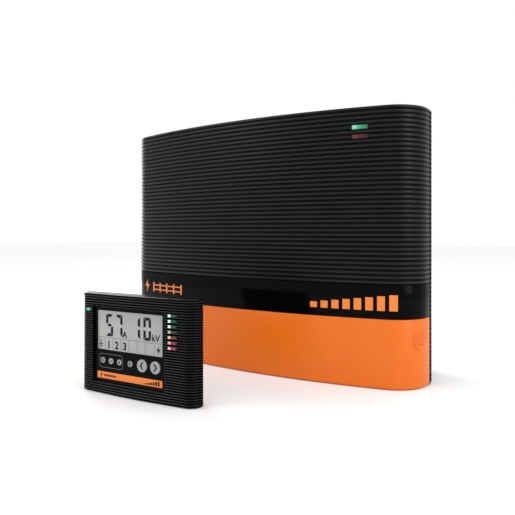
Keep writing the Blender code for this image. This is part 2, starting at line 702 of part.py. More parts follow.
def build_electronics(finishes):
    half = BOARD_WIDTH / 2
    low, high = (-half, BOARD_FACE, BOARD_BOTTOM), (half, BOARD_Y, BOARD_TOP)
    add_part("main_board", span(low, high), finishes["board"])
    seat = BOARD_FACE - FIT_GAP

    core_x = -half + CORE_SIZE[0] / 2 + 0.010
    core_z = BOARD_BOTTOM + MODULE_SIZE[2] + CORE_SIZE[2] / 2 + 0.008
    core_y = seat - WINDING_DEPTH / 2
    core = add_part("transformer_core", block(CORE_SIZE, (core_x, core_y, core_z)), finishes["core"])
    window_shift = CORE_LEG / 2 + CORE_WINDOW[0] / 2
    for side in (-1, 1):
        window = (CORE_WINDOW[0], CORE_SIZE[1] + 2 * OVERRUN, CORE_WINDOW[1])
        cut(core, block(window, (core_x + side * window_shift, core_y, core_z)), f"window_{side}")
    winding_half = CORE_LEG / 2 + CORE_WINDOW[0] - FIT_GAP
    winding_size = (2 * winding_half, WINDING_DEPTH, CORE_WINDOW[1] - 2 * FIT_GAP)
    winding = block(winding_size, (core_x, core_y, core_z))
    winding = add_part("transformer_winding", winding, finishes["copper"])
    leg = (CORE_LEG + 2 * FIT_GAP, CORE_SIZE[1] + 2 * FIT_GAP, CORE_SIZE[2])
    cut(winding, block(leg, (core_x, core_y, core_z)), "leg")

    first_x = core_x + CORE_SIZE[0] / 2 + CAPACITOR_RADIUS + 0.008
    first_z = BOARD_BOTTOM + MODULE_SIZE[2] + CAPACITOR_RADIUS + 0.007
    for number in range(4):
        x = first_x + (number % 2) * CAPACITOR_PITCH
        z = first_z + (number // 2) * CAPACITOR_PITCH
        front = seat - CAPACITOR_LENGTH
        can = [(front, 0.0), (front, CAPACITOR_RADIUS * 0.93), (front + 0.001, CAPACITOR_RADIUS),
               (seat, CAPACITOR_RADIUS), (seat, 0.0)]
        add_part(f"storage_capacitor_{number + 1}", turned(can), finishes["sleeve"], place=(x, 0.0, z))

    sink_x = first_x + CAPACITOR_PITCH + CAPACITOR_RADIUS + THYRISTOR_SIZE[0] + 0.008
    width, depth, height = SINK_SIZE
    comb = [(sink_x, seat), (sink_x, seat - depth)]
    pitch = (depth - SINK_BASE / 2) / (SINK_FINS - 0.5)
    for fin in range(SINK_FINS):
        front = seat - depth + fin * pitch
        back = front + pitch / 2
        comb += [(sink_x + width, front), (sink_x + width, back)]
        if fin < SINK_FINS - 1:
            comb += [(sink_x + SINK_BASE, back), (sink_x + SINK_BASE, front + pitch)]
    comb += [(sink_x + SINK_BASE, seat - depth + (SINK_FINS - 0.5) * pitch), (sink_x + SINK_BASE, seat)]
    sink_low = first_z - CAPACITOR_RADIUS
    add_part("heat_sink", prism(comb, sink_low, sink_low + height), finishes["aluminium"])
    thyristor_x = sink_x - FIT_GAP - THYRISTOR_SIZE[0] / 2
    place = (thyristor_x, seat - depth / 2, sink_low + height / 2)
    add_part("thyristor", block(THYRISTOR_SIZE, place), finishes["chip"])

    coil_z = core_z + CORE_SIZE[2] / 2 + CHOKE_RADIUS + CHOKE_WIRE + 0.002
    add_part("choke_coil", ring_of_wire(), finishes["copper"], place=(core_x, seat - CHOKE_WIRE, coil_z))
    module_z = BOARD_BOTTOM + MODULE_SIZE[2] / 2 + 0.002
    module_place = (core_x, seat - MODULE_SIZE[1] / 2, module_z)
    add_part("power_module", block(MODULE_SIZE, module_place), finishes["chip"])
    build_fuse(first_x + CAPACITOR_PITCH / 2, seat, module_z, finishes)


def ring_of_wire():
    """The choke's wound ring, about the Y axis."""
    shape = bmesh.new()
    bmesh.ops.create_circle(shape, segments=12, radius=CHOKE_WIRE)
    bmesh.ops.transform(shape, matrix=Matrix.Translation((CHOKE_RADIUS, 0.0, 0.0)), verts=shape.verts)
    bmesh.ops.spin(shape, geom=shape.edges[:], axis=(0.0, 1.0, 0.0), cent=(0.0, 0.0, 0.0),
                   angle=2 * math.pi, steps=ROUND_STEPS, use_merge=True)
    bmesh.ops.remove_doubles(shape, verts=shape.verts, dist=1e-6)
    bmesh.ops.recalc_face_normals(shape, faces=shape.faces)
    return shape


def build_fuse(x, seat, z, finishes):
    half = FUSE_LENGTH / 2
    wall = 0.0015
    height = FUSE_RADIUS * 2 + 0.004
    low = (x - half - wall - FIT_GAP, seat - height, z - FUSE_RADIUS - wall)
    high = (x + half + wall + FIT_GAP, seat, z + FUSE_RADIUS + wall)
    holder = add_part("fuse_holder", span(low, high), finishes["chip"])
    trough = span((x - half - FIT_GAP, seat - height - OVERRUN, z - FUSE_RADIUS - FIT_GAP),
                  (x + half + FIT_GAP, seat - 0.002, z + FUSE_RADIUS + FIT_GAP))
    cut(holder, trough, "trough")
    middle = seat - 0.002 - FIT_GAP - FUSE_RADIUS
    add_part("fuse", rod(FUSE_RADIUS, (x - half, middle, z), (x + half, middle, z), 16), finishes["glass"])


# ---- controller ----------------------------------------------------------------------

def unit_screw_places():
    high = PANEL_UNIT_HEIGHT - SHELL_TOP_WALL - UNIT_SCREW_MARGIN
    side = PANEL_UNIT_WIDTH / 2 - UNIT_SCREW_INSET
    return [(x, z) for z in (UNIT_SCREW_MARGIN, high) for x in (-side, side)]


def build_front_shell(material, frame):
    height, edge = PANEL_UNIT_HEIGHT, PANEL_UNIT_EDGE
    levels = []
    for step in range(EDGE_STEPS + 1):
        angle = math.pi / 2 * step / EDGE_STEPS
        levels.append((edge * (1 - math.cos(angle)), unit_outline(edge * (1 - math.sin(angle)))))
    for step in range(EDGE_STEPS + 1):
        angle = math.pi / 2 * step / EDGE_STEPS
        levels.append((height - edge * (1 - math.sin(angle)), unit_outline(edge * (1 - math.cos(angle)))))
    item = add_part("controller_front_shell", stack(levels), material, parent=frame)
    inside = unit_outline(PANEL_UNIT_WALL, SHELL_DEPTH + OVERRUN)
    cut(item, prism(inside, PANEL_UNIT_WALL, height - SHELL_TOP_WALL), "cavity")

    run = SHELL_DEPTH - SHELL_LAND
    slope = SHELL_FALL / run
    reach = run + OVERRUN
    half = PANEL_UNIT_WIDTH
    fall_end = SHELL_LAND + reach
    wedge = [(SHELL_LAND, height), (fall_end, height - slope * reach),
             (fall_end, height + OVERRUN), (SHELL_LAND, height + OVERRUN)]
    cut(item, loft([[(x, y, z) for y, z in wedge] for x in (-half, half)]), "fall")

    window_low = (WINDOW_LEFT, -OVERRUN, WINDOW_BOTTOM)
    window_high = (WINDOW_RIGHT, FASCIA_SETBACK + OVERRUN, WINDOW_TOP)
    cut(item, span(window_low, window_high), "window")
    for number, (x, z) in enumerate(unit_screw_places(), 1):
        end = SHELL_DEPTH - FIT_GAP
        root = unit_bow_y(x, PANEL_UNIT_WALL / 2)
        join(item, rod(UNIT_POST_RADIUS, (x, root, z), (x, end, z), 16), f"post_{number}")
        bore = UNIT_SCREW_RADIUS + FIT_GAP
        pilot_end = (x, end - UNIT_SCREW_BITE - 0.001, z)
        cut(item, rod(bore, pilot_end, (x, end + OVERRUN, z), 12), f"pilot_{number}")
    width, tall = POWER_LENS_SIZE
    slot = (width + 2 * FIT_GAP, 4 * OVERRUN, tall + 2 * FIT_GAP)
    cut(item, block(slot, (POWER_LENS_X, -OVERRUN, POWER_LENS_Z)), "lens_slot")
    width, tall = LAMP_SIZE
    slot = (width + 2 * FIT_GAP, 4 * OVERRUN, tall + 2 * FIT_GAP)
    for number, z in enumerate(lamp_heights(), 1):
        cut(item, block(slot, (LAMP_X, -OVERRUN, z)), f"lamp_slot_{number}")
    return item


def build_rear_shell(material, frame):
    """A back plate with a raised tub, both flat along the foot."""
    half = PANEL_UNIT_WIDTH / 2
    top = PANEL_UNIT_HEIGHT - SHELL_FALL - REAR_STEP
    wall = PANEL_UNIT_WALL

    def ring(y, side, ceiling, inset=0.0):
        corner = REAR_CORNER - inset
        foot_corner = REAR_CORNER / 2 - inset
        outline = rounded_rectangle(side - inset, inset, ceiling - inset, corner, foot_corner)
        return [(x, y, z) for x, z in outline]

    tub_half = half - TUB_INSET
    tub_top = top - TUB_DROP
    front = SHELL_DEPTH + FIT_GAP
    plate_back = front + PLATE_THICKNESS
    item = add_part("controller_rear_shell", loft([
        ring(front, half - REAR_STEP, top),
        ring(plate_back, half - REAR_STEP - PLATE_TAPER, top - PLATE_TAPER),
        ring(plate_back + TUB_RISE, tub_half, tub_top),
        ring(PANEL_UNIT_DEPTH, tub_half - TUB_TAPER, tub_top - TUB_TAPER),
    ]), material, parent=frame)
    cut(item, loft([
        ring(front - OVERRUN, tub_half, tub_top, wall),
        ring(plate_back, tub_half, tub_top, wall),
        ring(PANEL_UNIT_DEPTH - wall, tub_half - TUB_TAPER, tub_top - TUB_TAPER, wall),
    ]), "cavity")
    for number, (x, z) in enumerate(unit_screw_places(), 1):
        bore = UNIT_SCREW_RADIUS + FIT_GAP
        cut(item, rod(bore, (x, front - OVERRUN, z), (x, plate_back + OVERRUN, z), 12), f"bore_{number}")
        well = UNIT_HEAD_RADIUS + FIT_GAP
        well_floor = (x, plate_back - UNIT_HEAD_LENGTH, z)
        cut(item, rod(well, well_floor, (x, plate_back + OVERRUN, z), 12), f"well_{number}")
    width, length = UNIT_SOCKET_SIZE
    hole = (width + 2 * FIT_GAP, length + 2 * FIT_GAP, 2 * (wall + OVERRUN))
    cut(item, block(hole, (0.0, unit_socket_y(), 0.0)), "socket_hole")
    return item


def unit_socket_y():
    return PANEL_UNIT_DEPTH - PANEL_UNIT_WALL - SOCKET_FLANGE - UNIT_SOCKET_SIZE[1] / 2 - 2 * FIT_GAP


def lamp_heights():
    return [LAMP_TOP - LAMP_PITCH * i for i in range(LAMP_COUNT)]


def build_fascia(material, frame):
    low = (WINDOW_LEFT - FASCIA_LIP, FASCIA_SETBACK, WINDOW_BOTTOM - FASCIA_LIP)
    high = (WINDOW_RIGHT + FASCIA_LIP, FASCIA_BACK, WINDOW_TOP + FASCIA_LIP)
    item = add_part("controller_fascia", span(low, high), material, parent=frame)
    front, back = FASCIA_SETBACK - OVERRUN, FASCIA_BACK + OVERRUN
    aperture = span((DISPLAY_LEFT, front, DISPLAY_BOTTOM), (DISPLAY_RIGHT, back, DISPLAY_TOP))
    cut(item, aperture, "display_aperture")
    for name, x, radius in KEYS:
        hole = radius + FIT_GAP
        cut(item, rod(hole, (x, front, KEY_ROW), (x, back, KEY_ROW)), f"{name}_hole")
    return item


def build_keys(material, frame):
    for name, x, radius in KEYS:
        axis = add_empty(f"{name}_axis", (x, FASCIA_SETBACK, KEY_ROW), parent=frame)
        edge = 0.0003
        cap = [(-KEY_PROUD, 0.0), (-KEY_PROUD, radius - edge), (-KEY_PROUD + edge, radius),
               (KEY_LENGTH - KEY_PROUD, radius), (KEY_LENGTH - KEY_PROUD, 0.0)]
        add_part(name, turned(cap), material, parent=axis)


def build_controller(finishes):
    frame = add_empty("controller_frame", PANEL_UNIT_PLACE, turn=PANEL_UNIT_TURN)
    build_front_shell(finishes["case"], frame)
    build_rear_shell(finishes["case"], frame)
    build_fascia(finishes["gloss"], frame)
    build_keys(finishes["key"], frame)

    low = (DISPLAY_LEFT + FIT_GAP, FASCIA_SETBACK + FIT_GAP, DISPLAY_BOTTOM + FIT_GAP)
    high = (DISPLAY_RIGHT - FIT_GAP, FASCIA_SETBACK + FIT_GAP + DISPLAY_THICKNESS, DISPLAY_TOP - FIT_GAP)
    add_part("display_panel", span(low, high), finishes["display"], parent=frame)

    spine_front = FASCIA_BACK + FIT_GAP
    width, tall = LAMP_SIZE
    heights = lamp_heights()
    spine_low = (LAMP_X - width / 2, spine_front, heights[-1] - tall / 2)
    spine_high = (LAMP_X + width / 2, spine_front + 0.0015, heights[0] + tall / 2)
    bar = add_part("controller_lamp_bar", span(spine_low, spine_high), finishes["guide"], parent=frame)
    for number, z in enumerate(heights, 1):
        tip = span((LAMP_X - width / 2, unit_bow_y(LAMP_X), z - tall / 2),
                   (LAMP_X + width / 2, spine_front + 0.0008, z + tall / 2))
        join(bar, tip, f"tip_{number}")

    width, tall = POWER_LENS_SIZE
    lens_y = unit_bow_y(POWER_LENS_X)
    lens_depth = FASCIA_SETBACK - FIT_GAP - lens_y
    lens = block((width, lens_depth, tall), (POWER_LENS_X, lens_y + lens_depth / 2, POWER_LENS_Z))
    add_part("controller_power_lens", lens, finishes["green"], parent=frame)

    mat_front = FASCIA_SETBACK - KEY_PROUD + KEY_LENGTH + KEY_TRAVEL + FIT_GAP
    mat_front = max(mat_front, FASCIA_BACK + FIT_GAP)
    reach = LARGE_KEY_RADIUS + 0.001
    mat_low = (KEYS[0][1] - reach, mat_front, KEY_ROW - reach)
    mat_high = (KEYS[-1][1] + reach, mat_front + MAT_THICKNESS, KEY_ROW + reach)
    add_part("keypad_mat", span(mat_low, mat_high), finishes["rubber"], parent=frame)

    board_right = LAMP_X + LAMP_SIZE[0] / 2 + FASCIA_LIP
    board_low = (WINDOW_LEFT, CONTROL_BOARD_SETBACK, WINDOW_BOTTOM)
    board_high = (board_right, CONTROL_BOARD_SETBACK + BOARD_THICKNESS, WINDOW_TOP)
    add_part("controller_board", span(board_low, board_high), finishes["board"], parent=frame)

    build_socket("controller_socket", 0.0, UNIT_SOCKET_SIZE, UNIT_SOCKET_DEPTH, (), finishes["chip"],
                 parent=frame, y=unit_socket_y(), wall=PANEL_UNIT_WALL)
    head_y = SHELL_DEPTH + 2 * FIT_GAP + PLATE_THICKNESS - UNIT_HEAD_LENGTH
    tip_y = SHELL_DEPTH - UNIT_SCREW_BITE
    for number, (x, z) in enumerate(unit_screw_places(), 1):
        profile = [(tip_y, 0.0), (tip_y, UNIT_SCREW_RADIUS * 0.6), (tip_y + 0.001, UNIT_SCREW_RADIUS),
                   (head_y, UNIT_SCREW_RADIUS), (head_y, UNIT_HEAD_RADIUS),
                   (head_y + UNIT_HEAD_LENGTH, UNIT_HEAD_RADIUS * 0.9),
                   (head_y + UNIT_HEAD_LENGTH, 0.0)]
        add_part(f"controller_screw_{number}", turned(profile, 12), finishes["steel"],
                 parent=frame, place=(x, 0.0, z))


# ---- assembly ------------------------------------------------------------------------

def main():
    clear_scene()
    finishes = {
        "case": finish("ribbed black case", "232426", 0.45),
        "gloss": finish("glossy black panel", "0D0D0E", 0.15),
        "orange": finish("orange cover", "EC7A22", 0.40),
        "green": finish("green lens", "2FA873", 0.15),
        "red": finish("red lens", "5A2029", 0.15),
        "brass": finish("terminal brass", "C9A552", 0.30, 1.0),
        "steel": finish("zinc-plated steel", "B9BBBE", 0.35, 1.0),
        "knob_red": finish("red terminal knob", "B3261E", 0.40),
        "knob_green": finish("green terminal knob", "2E7D46", 0.40),
        "board": finish("circuit board", "1F5B3A", 0.50),
        "core": finish("core laminations", "5B5F63", 0.50, 0.8),
        "copper": finish("enamelled copper", "A4552A", 0.35, 0.6),
        "sleeve": finish("capacitor sleeve", "1D2A4A", 0.40),
        "aluminium": finish("anodised aluminium", "8F9397", 0.40, 0.9),
        "chip": finish("black moulding", "1A1A1B", 0.55),
        "glass": finish("fuse glass", "D7DCDD", 0.10),
        "display": finish("display glass", "AEB2B0", 0.20),
        "guide": finish("clear light guide", "C9CFCB", 0.20),
        "key": finish("grey key cap", "A2A6A8", 0.40),
        "rubber": finish("black silicone", "242424", 0.70),
    }
    build_rear_case(finishes["case"])
    build_case_seal(finishes["rubber"])
    build_front_cover(finishes["case"])
    build_status_lenses(finishes["green"], finishes["red"], finishes["board"])
    build_name_band(finishes["gloss"])
    build_case_screws(finishes["steel"])
    build_terminal_tray(finishes["case"])
    build_terminals(finishes["brass"], finishes["knob_red"], finishes["knob_green"])
    build_terminal_cover(finishes["orange"])
    inlet_pins = ((-0.005, 0.0), (0.0, 0.003), (0.005, 0.0))
    build_socket("mains_inlet", INLET_X, INLET_SIZE, INLET_DEPTH, inlet_pins, finishes["chip"])
    build_socket("controller_port", PORT_X, PORT_SIZE, PORT_DEPTH, (), finishes["chip"])
    build_electronics(finishes)
    build_controller(finishes)


main()
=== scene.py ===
import json
import math

import bmesh
import bpy
from mathutils import Matrix, Vector

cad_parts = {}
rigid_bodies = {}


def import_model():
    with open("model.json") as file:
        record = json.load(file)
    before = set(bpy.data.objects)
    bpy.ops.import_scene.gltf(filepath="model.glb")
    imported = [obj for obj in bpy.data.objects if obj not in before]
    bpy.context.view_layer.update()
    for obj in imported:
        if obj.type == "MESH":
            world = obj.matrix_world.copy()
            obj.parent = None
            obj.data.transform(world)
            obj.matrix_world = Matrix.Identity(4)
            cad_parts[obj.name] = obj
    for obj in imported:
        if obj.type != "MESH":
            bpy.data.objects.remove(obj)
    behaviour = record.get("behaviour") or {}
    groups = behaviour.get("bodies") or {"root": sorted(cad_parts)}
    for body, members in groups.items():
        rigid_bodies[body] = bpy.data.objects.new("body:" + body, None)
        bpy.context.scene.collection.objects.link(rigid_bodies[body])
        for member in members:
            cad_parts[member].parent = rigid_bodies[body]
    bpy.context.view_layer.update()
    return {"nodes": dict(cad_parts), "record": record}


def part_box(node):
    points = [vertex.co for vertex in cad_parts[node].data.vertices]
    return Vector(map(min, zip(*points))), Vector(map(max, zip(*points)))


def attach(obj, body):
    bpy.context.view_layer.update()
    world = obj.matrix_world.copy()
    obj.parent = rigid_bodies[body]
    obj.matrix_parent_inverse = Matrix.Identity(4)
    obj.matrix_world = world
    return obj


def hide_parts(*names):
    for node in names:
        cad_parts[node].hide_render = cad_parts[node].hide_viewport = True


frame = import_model()
mm = 0.001
smoothBelow = math.radians(32)   # softer edges than this are shaded smooth
weld = 0.002 * mm               # corners nearer than this are one


# picking and shaping

def clearPicks():
    if bpy.context.object and bpy.context.object.mode != "OBJECT":
        bpy.ops.object.mode_set(mode="OBJECT")
    bpy.ops.object.select_all(action="DESELECT")


def takeUp(piece):
    clearPicks()
    piece.select_set(True)
    bpy.context.view_layer.objects.active = piece


def startPiece(name):  # an empty piece, open in edit mode
    clearPicks()
    bpy.ops.mesh.primitive_plane_add(size=1 * mm)
    bpy.context.object.name = name
    bpy.ops.object.mode_set(mode="EDIT")
    bpy.ops.mesh.select_all(action="SELECT")
    bpy.ops.mesh.delete(type="VERT")
    return bpy.context.object


def startBox(name, low, high):
    clearPicks()
    low, high = Vector(low), Vector(high)
    bpy.ops.mesh.primitive_cube_add(size=1, location=(low + high) / 2)
    box = bpy.context.object
    box.name = name
    box.scale = high - low
    bpy.ops.object.transform_apply(location=True, rotation=True, scale=True)
    return box


def startRod(name, radius, start, end, sides=32):  # a cylinder between two points
    clearPicks()
    start, end = Vector(start), Vector(end)
    turn = Vector((0, 0, 1)).rotation_difference(end - start)
    bpy.ops.mesh.primitive_cylinder_add(vertices=sides, radius=radius, depth=(end - start).length,
                                        location=(start + end) / 2, rotation=turn.to_euler())
    rod = bpy.context.object
    rod.name = name
    bpy.ops.object.transform_apply(location=True, rotation=True, scale=True)
    return rod


def pick(kind, test):  # kind is VERT, EDGE or FACE
    bpy.ops.mesh.select_mode(type=kind)
    bpy.ops.mesh.select_all(action="DESELECT")
    shape = bmesh.from_edit_mesh(bpy.context.object.data)
    parts = {"VERT": shape.verts, "EDGE": shape.edges, "FACE": shape.faces}[kind]
    found = [part for part in parts if test(part)]
    for part in found:
        part.select_set(True)
    shape.select_flush_mode()
    bmesh.update_edit_mesh(bpy.context.object.data)
    return len(found)


def faceOutwards(piece):
    takeUp(piece)
    bpy.ops.object.mode_set(mode="EDIT")
    bpy.ops.mesh.select_all(action="SELECT")
    bpy.ops.mesh.remove_doubles(threshold=weld)
    bpy.ops.mesh.normals_make_consistent(inside=False)
    bpy.ops.object.mode_set(mode="OBJECT")


def shapeWith(piece, kind, **settings):
    takeUp(piece)
    modifier = piece.modifiers.new(kind.title(), kind)
    for key, value in settings.items():
        setattr(modifier, key, value)
    bpy.ops.object.modifier_apply(modifier=modifier.name)


def roundEdges(piece, width, segments=2, angle=30):
    shapeWith(piece, "BEVEL", width=width, segments=segments, limit_method="ANGLE",
              angle_limit=math.radians(angle), miter_outer="MITER_ARC", use_clamp_overlap=True)


def cutAway(piece, *tools):
    for tool in tools:
        shapeWith(piece, "BOOLEAN", operation="DIFFERENCE", solver="EXACT", object=tool)
        bpy.data.objects.remove(tool, do_unlink=True)


def joinUp(piece, *others):
    takeUp(piece)
    for other in others:
        other.select_set(True)
    bpy.ops.object.join()
    return piece


def movePiece(piece, place):  # a Matrix, or a step as three numbers
    piece.matrix_world = place if isinstance(place, Matrix) else Matrix.Translation(place)
    takeUp(piece)
    bpy.ops.object.transform_apply(location=True, rotation=True, scale=True)
    return piece


def settle(piece, body, finish, nodes=()):
    takeUp(piece)
    bpy.ops.object.transform_apply(location=True, rotation=True, scale=True)
    bpy.ops.object.shade_smooth_by_angle(angle=smoothBelow)
    if not piece.data.materials:
        piece.data.materials.append(finish)
    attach(piece, body)
    if nodes:
        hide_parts(*nodes)
    return piece


def refineNode(node, name, body, finish, edge=0.3, segments=2, angle=30):
    # a merged copy of a CAD piece with its edges rounded
    source = frame["nodes"][node]
    copy = source.copy()
    copy.data = source.data.copy()
    copy.name = name
    copy.parent = None
    for key in list(copy.keys()):
        del copy[key]
    bpy.context.scene.collection.objects.link(copy)
    copy.hide_render = copy.hide_viewport = False
    copy.data.materials.clear()
    takeUp(copy)
    bpy.ops.object.mode_set(mode="EDIT")
    bpy.ops.mesh.select_all(action="SELECT")
    bpy.ops.mesh.remove_doubles(threshold=weld)
    bpy.ops.mesh.dissolve_limited(angle_limit=math.radians(1))
    bpy.ops.object.mode_set(mode="OBJECT")
    if edge:
        roundEdges(copy, edge * mm, segments, angle)
    settle(copy, body, finish, (node,))
    shapeWith(copy, "WEIGHTED_NORMAL", keep_sharp=True)
    return copy


# outlines of the bowed casings: one vertex at mid front is spun along the bow and the corner

def layOutline(plan, inset, z):
    half, bow, corner = plan["halfWidth"], plan["bow"], plan["corner"]
    radius = (half ** 2 + bow ** 2) / (2 * bow)
    centreY = plan["frontY"] + radius
    cornerX = half - corner
    cornerY = centreY - math.sqrt((radius - corner) ** 2 - cornerX ** 2)
    tangent = math.atan2(cornerX, centreY - cornerY)
    bpy.ops.mesh.select_mode(type="VERT")
    bpy.ops.mesh.select_all(action="DESELECT")
    bpy.ops.mesh.primitive_plane_add(size=1 * mm, location=(0, plan["frontY"] + inset, z))
    bpy.ops.mesh.merge(type="CENTER")
    bpy.ops.mesh.spin(steps=plan["bowSteps"], angle=-tangent, center=(0, centreY, z), axis=(0, 0, 1))
    bpy.ops.mesh.spin(steps=plan["cornerSteps"], angle=tangent - math.pi / 2,
                      center=(cornerX, cornerY, z), axis=(0, 0, 1))
    bpy.ops.mesh.extrude_region_move(TRANSFORM_OT_translate={"value": (0, plan["backY"] - cornerY, 0)})


def bridgeLevels(levels):  # levels are different heights, bottom to top
    for lower, upper in zip(levels, levels[1:]):
        pick("VERT", lambda v: min(abs(v.co.z - lower), abs(v.co.z - upper)) < 0.001 * mm)
        bpy.ops.mesh.bridge_edge_loops()


def layWall(plan, profile):  # profile is (height, inset) pairs
    for z, inset in profile:
        layOutline(plan, inset, z)
    bridgeLevels([z for z, inset in profile])


def closeLevel(z):
    pick("VERT", lambda v: abs(v.co.z - z) < 0.001 * mm)
    bpy.ops.mesh.edge_face_add()


def closeForm(piece, low, high):  # mirrors a half wall, then closes its foot, top and back
    bpy.ops.object.mode_set(mode="OBJECT")
    shapeWith(piece, "MIRROR", merge_threshold=0.005 * mm)
    bpy.ops.object.mode_set(mode="EDIT")
    closeLevel(low)
    closeLevel(high)
    pick("EDGE", lambda e: e.is_boundary)
    bpy.ops.mesh.edge_face_add()
    bpy.ops.object.mode_set(mode="OBJECT")
    faceOutwards(piece)
    return piece


def hollowTool(plan, wall, low, high):
    tool = startPiece("hollow_tool")
    layWall(dict(plan, backY=plan["backY"] + 10 * mm), [(low, wall), (high, wall)])
    return closeForm(tool, low, high)


def bowY(plan, x):
    radius = (plan["halfWidth"] ** 2 + plan["bow"] ** 2) / (2 * plan["bow"])
    return plan["frontY"] + radius - math.sqrt(radius ** 2 - x ** 2)


# flat shapes for printing and raised marks, drawn in x and z, facing the front

def drawOutline(points):
    bpy.ops.mesh.select_mode(type="VERT")
    bpy.ops.mesh.select_all(action="DESELECT")
    bpy.ops.mesh.primitive_plane_add(size=1 * mm, location=(points[0][0], 0, points[0][1]))
    bpy.ops.mesh.merge(type="CENTER")
    for (x, z), (nextX, nextZ) in zip(points, points[1:]):
        bpy.ops.mesh.extrude_region_move(TRANSFORM_OT_translate={"value": (nextX - x, 0, nextZ - z)})
    bpy.ops.mesh.select_linked()
    bpy.ops.mesh.edge_face_add()


def drawShapes(name, shapes):
    piece = startPiece(name)
    for points in shapes:
        drawOutline(points)
    bpy.ops.object.mode_set(mode="OBJECT")
    return piece


def rectangle(x, z, width, height):
    return [(x - width / 2, z - height / 2), (x + width / 2, z - height / 2),
            (x + width / 2, z + height / 2), (x - width / 2, z + height / 2)]


def lineBetween(start, end, width):
    along = (Vector(end) - Vector(start)).normalized()
    across = Vector((-along.y, along.x)) * width / 2
    return [tuple(Vector(start) - across), tuple(Vector(end) - across),
            tuple(Vector(end) + across), tuple(Vector(start) + across)]


def ringShapes(x, z, outer, width, sides=24, start=0, end=360):
    def at(radius, step):
        angle = math.radians(start + (end - start) * step / sides)
        return x + radius * math.cos(angle), z + radius * math.sin(angle)
    return [[at(outer, i), at(outer, i + 1), at(outer - width, i + 1), at(outer - width, i)]
            for i in range(sides)]


def boltShape(x, z, height):
    corners = [(0.08, 0.5), (-0.30, -0.06), (-0.03, -0.06), (-0.12, -0.5), (0.30, 0.12), (0.04, 0.12)]
    return [[(x + height * u, z + height * v) for u, v in corners]]


def scaled(shapes, x, z, size):
    return [[(x + size * u, z + size * v) for u, v in points] for points in shapes]


def thicken(piece, depth):  # a flat print becomes a thin solid
    faceOutwards(piece)
    shapeWith(piece, "SOLIDIFY", thickness=depth, offset=0)
    faceOutwards(piece)
    return piece


def wrapOnto(piece, target, cuts=0, straight=False):  # presses a flat shape back onto a curved face
    takeUp(piece)
    if cuts:
        bpy.ops.object.mode_set(mode="EDIT")
        bpy.ops.mesh.select_all(action="SELECT")
        bpy.ops.mesh.subdivide(number_cuts=cuts)
        bpy.ops.object.mode_set(mode="OBJECT")
    if straight:
        shapeWith(piece, "SHRINKWRAP", target=target, wrap_method="PROJECT", use_project_y=True,
                  use_negative_direction=True, use_positive_direction=True)
    else:
        shapeWith(piece, "SHRINKWRAP", target=target, wrap_method="NEAREST_SURFACEPOINT",
                  wrap_mode="ON_SURFACE")


# finishes

def fromHex(code):  # an sRGB hex colour as linear RGBA
    channels = [int(code[i:i + 2], 16) / 255 for i in (1, 3, 5)]
    return [c / 12.92 if c <= 0.04045 else ((c + 0.055) / 1.055) ** 2.4 for c in channels] + [1]


def addNode(tree, kind, settings=(), links=()):
    item = tree.nodes.new("ShaderNode" + kind)
    for key, value in dict(settings).items():
        if isinstance(key, str) and hasattr(item, key):
            setattr(item, key, value)
        else:
            item.inputs[key].default_value = value
    for key, source in dict(links).items():
        tree.links.new(source, item.inputs[key])
    return item


def startFinish(name, **sockets):
    finish = bpy.data.materials.new(name)
    finish.use_nodes = True
    shader = finish.node_tree.nodes["Principled BSDF"]
    for key, value in sockets.items():
        shader.inputs[key.replace("_", " ")].default_value = value
    return finish, finish.node_tree, shader


def mouldedFinish(name, colours, roughness, grain, bump, patch=40, ribs=None, **sockets):
    # colours are two near shades, grain and patch are mm, roughness is its range
    # ribs is (height of a groove, pitch, shine in the grooves, shine on the crests): the low shine in the grooves is
    # painted shade
    finish, tree, shader = startFinish(name, **sockets)
    place = addNode(tree, "TexCoord").outputs["Object"]
    clouds = addNode(tree, "TexNoise", {"Scale": 1000 / patch, "Detail": 3.0}, {"Vector": place})
    shade = addNode(tree, "Mix", {"data_type": "RGBA", 6: fromHex(colours[0]), 7: fromHex(colours[1])},
                    {0: clouds.outputs["Fac"]})
    grit = addNode(tree, "TexNoise", {"Scale": 1000 / grain, "Detail": 2.0}, {"Vector": place})
    sheen = addNode(tree, "MapRange", {"To Min": roughness[0], "To Max": roughness[1]},
                    {"Value": clouds.outputs["Fac"]})
    relief = addNode(tree, "Bump", {"Strength": bump, "Distance": 0.05 * mm},
                     {"Height": grit.outputs["Fac"]})
    if ribs:
        groove, pitch, painted_groove_shade, shiny = ribs
        height = addNode(tree, "SeparateXYZ", {}, {"Vector": place})
        above = addNode(tree, "Math", {"operation": "SUBTRACT", 1: groove}, {0: height.outputs["Z"]})
        crest = addNode(tree, "Math", {"operation": "PINGPONG", 1: pitch / 2}, {0: above.outputs["Value"]})
        # painted shade: the specular level drops in each rib groove, where shade falls, and rises on the crests
        groove_shade_mask = addNode(tree, "MapRange", {"From Min": 0.12 * pitch, "From Max": 0.42 * pitch, "To Min": painted_groove_shade,
                                           "To Max": shiny}, {"Value": crest.outputs["Value"]})
        tree.links.new(groove_shade_mask.outputs["Result"], shader.inputs["Specular IOR Level"])
    tree.links.new(shade.outputs[2], shader.inputs["Base Color"])
    tree.links.new(sheen.outputs["Result"], shader.inputs["Roughness"])
    tree.links.new(relief.outputs["Normal"], shader.inputs["Normal"])
    return finish


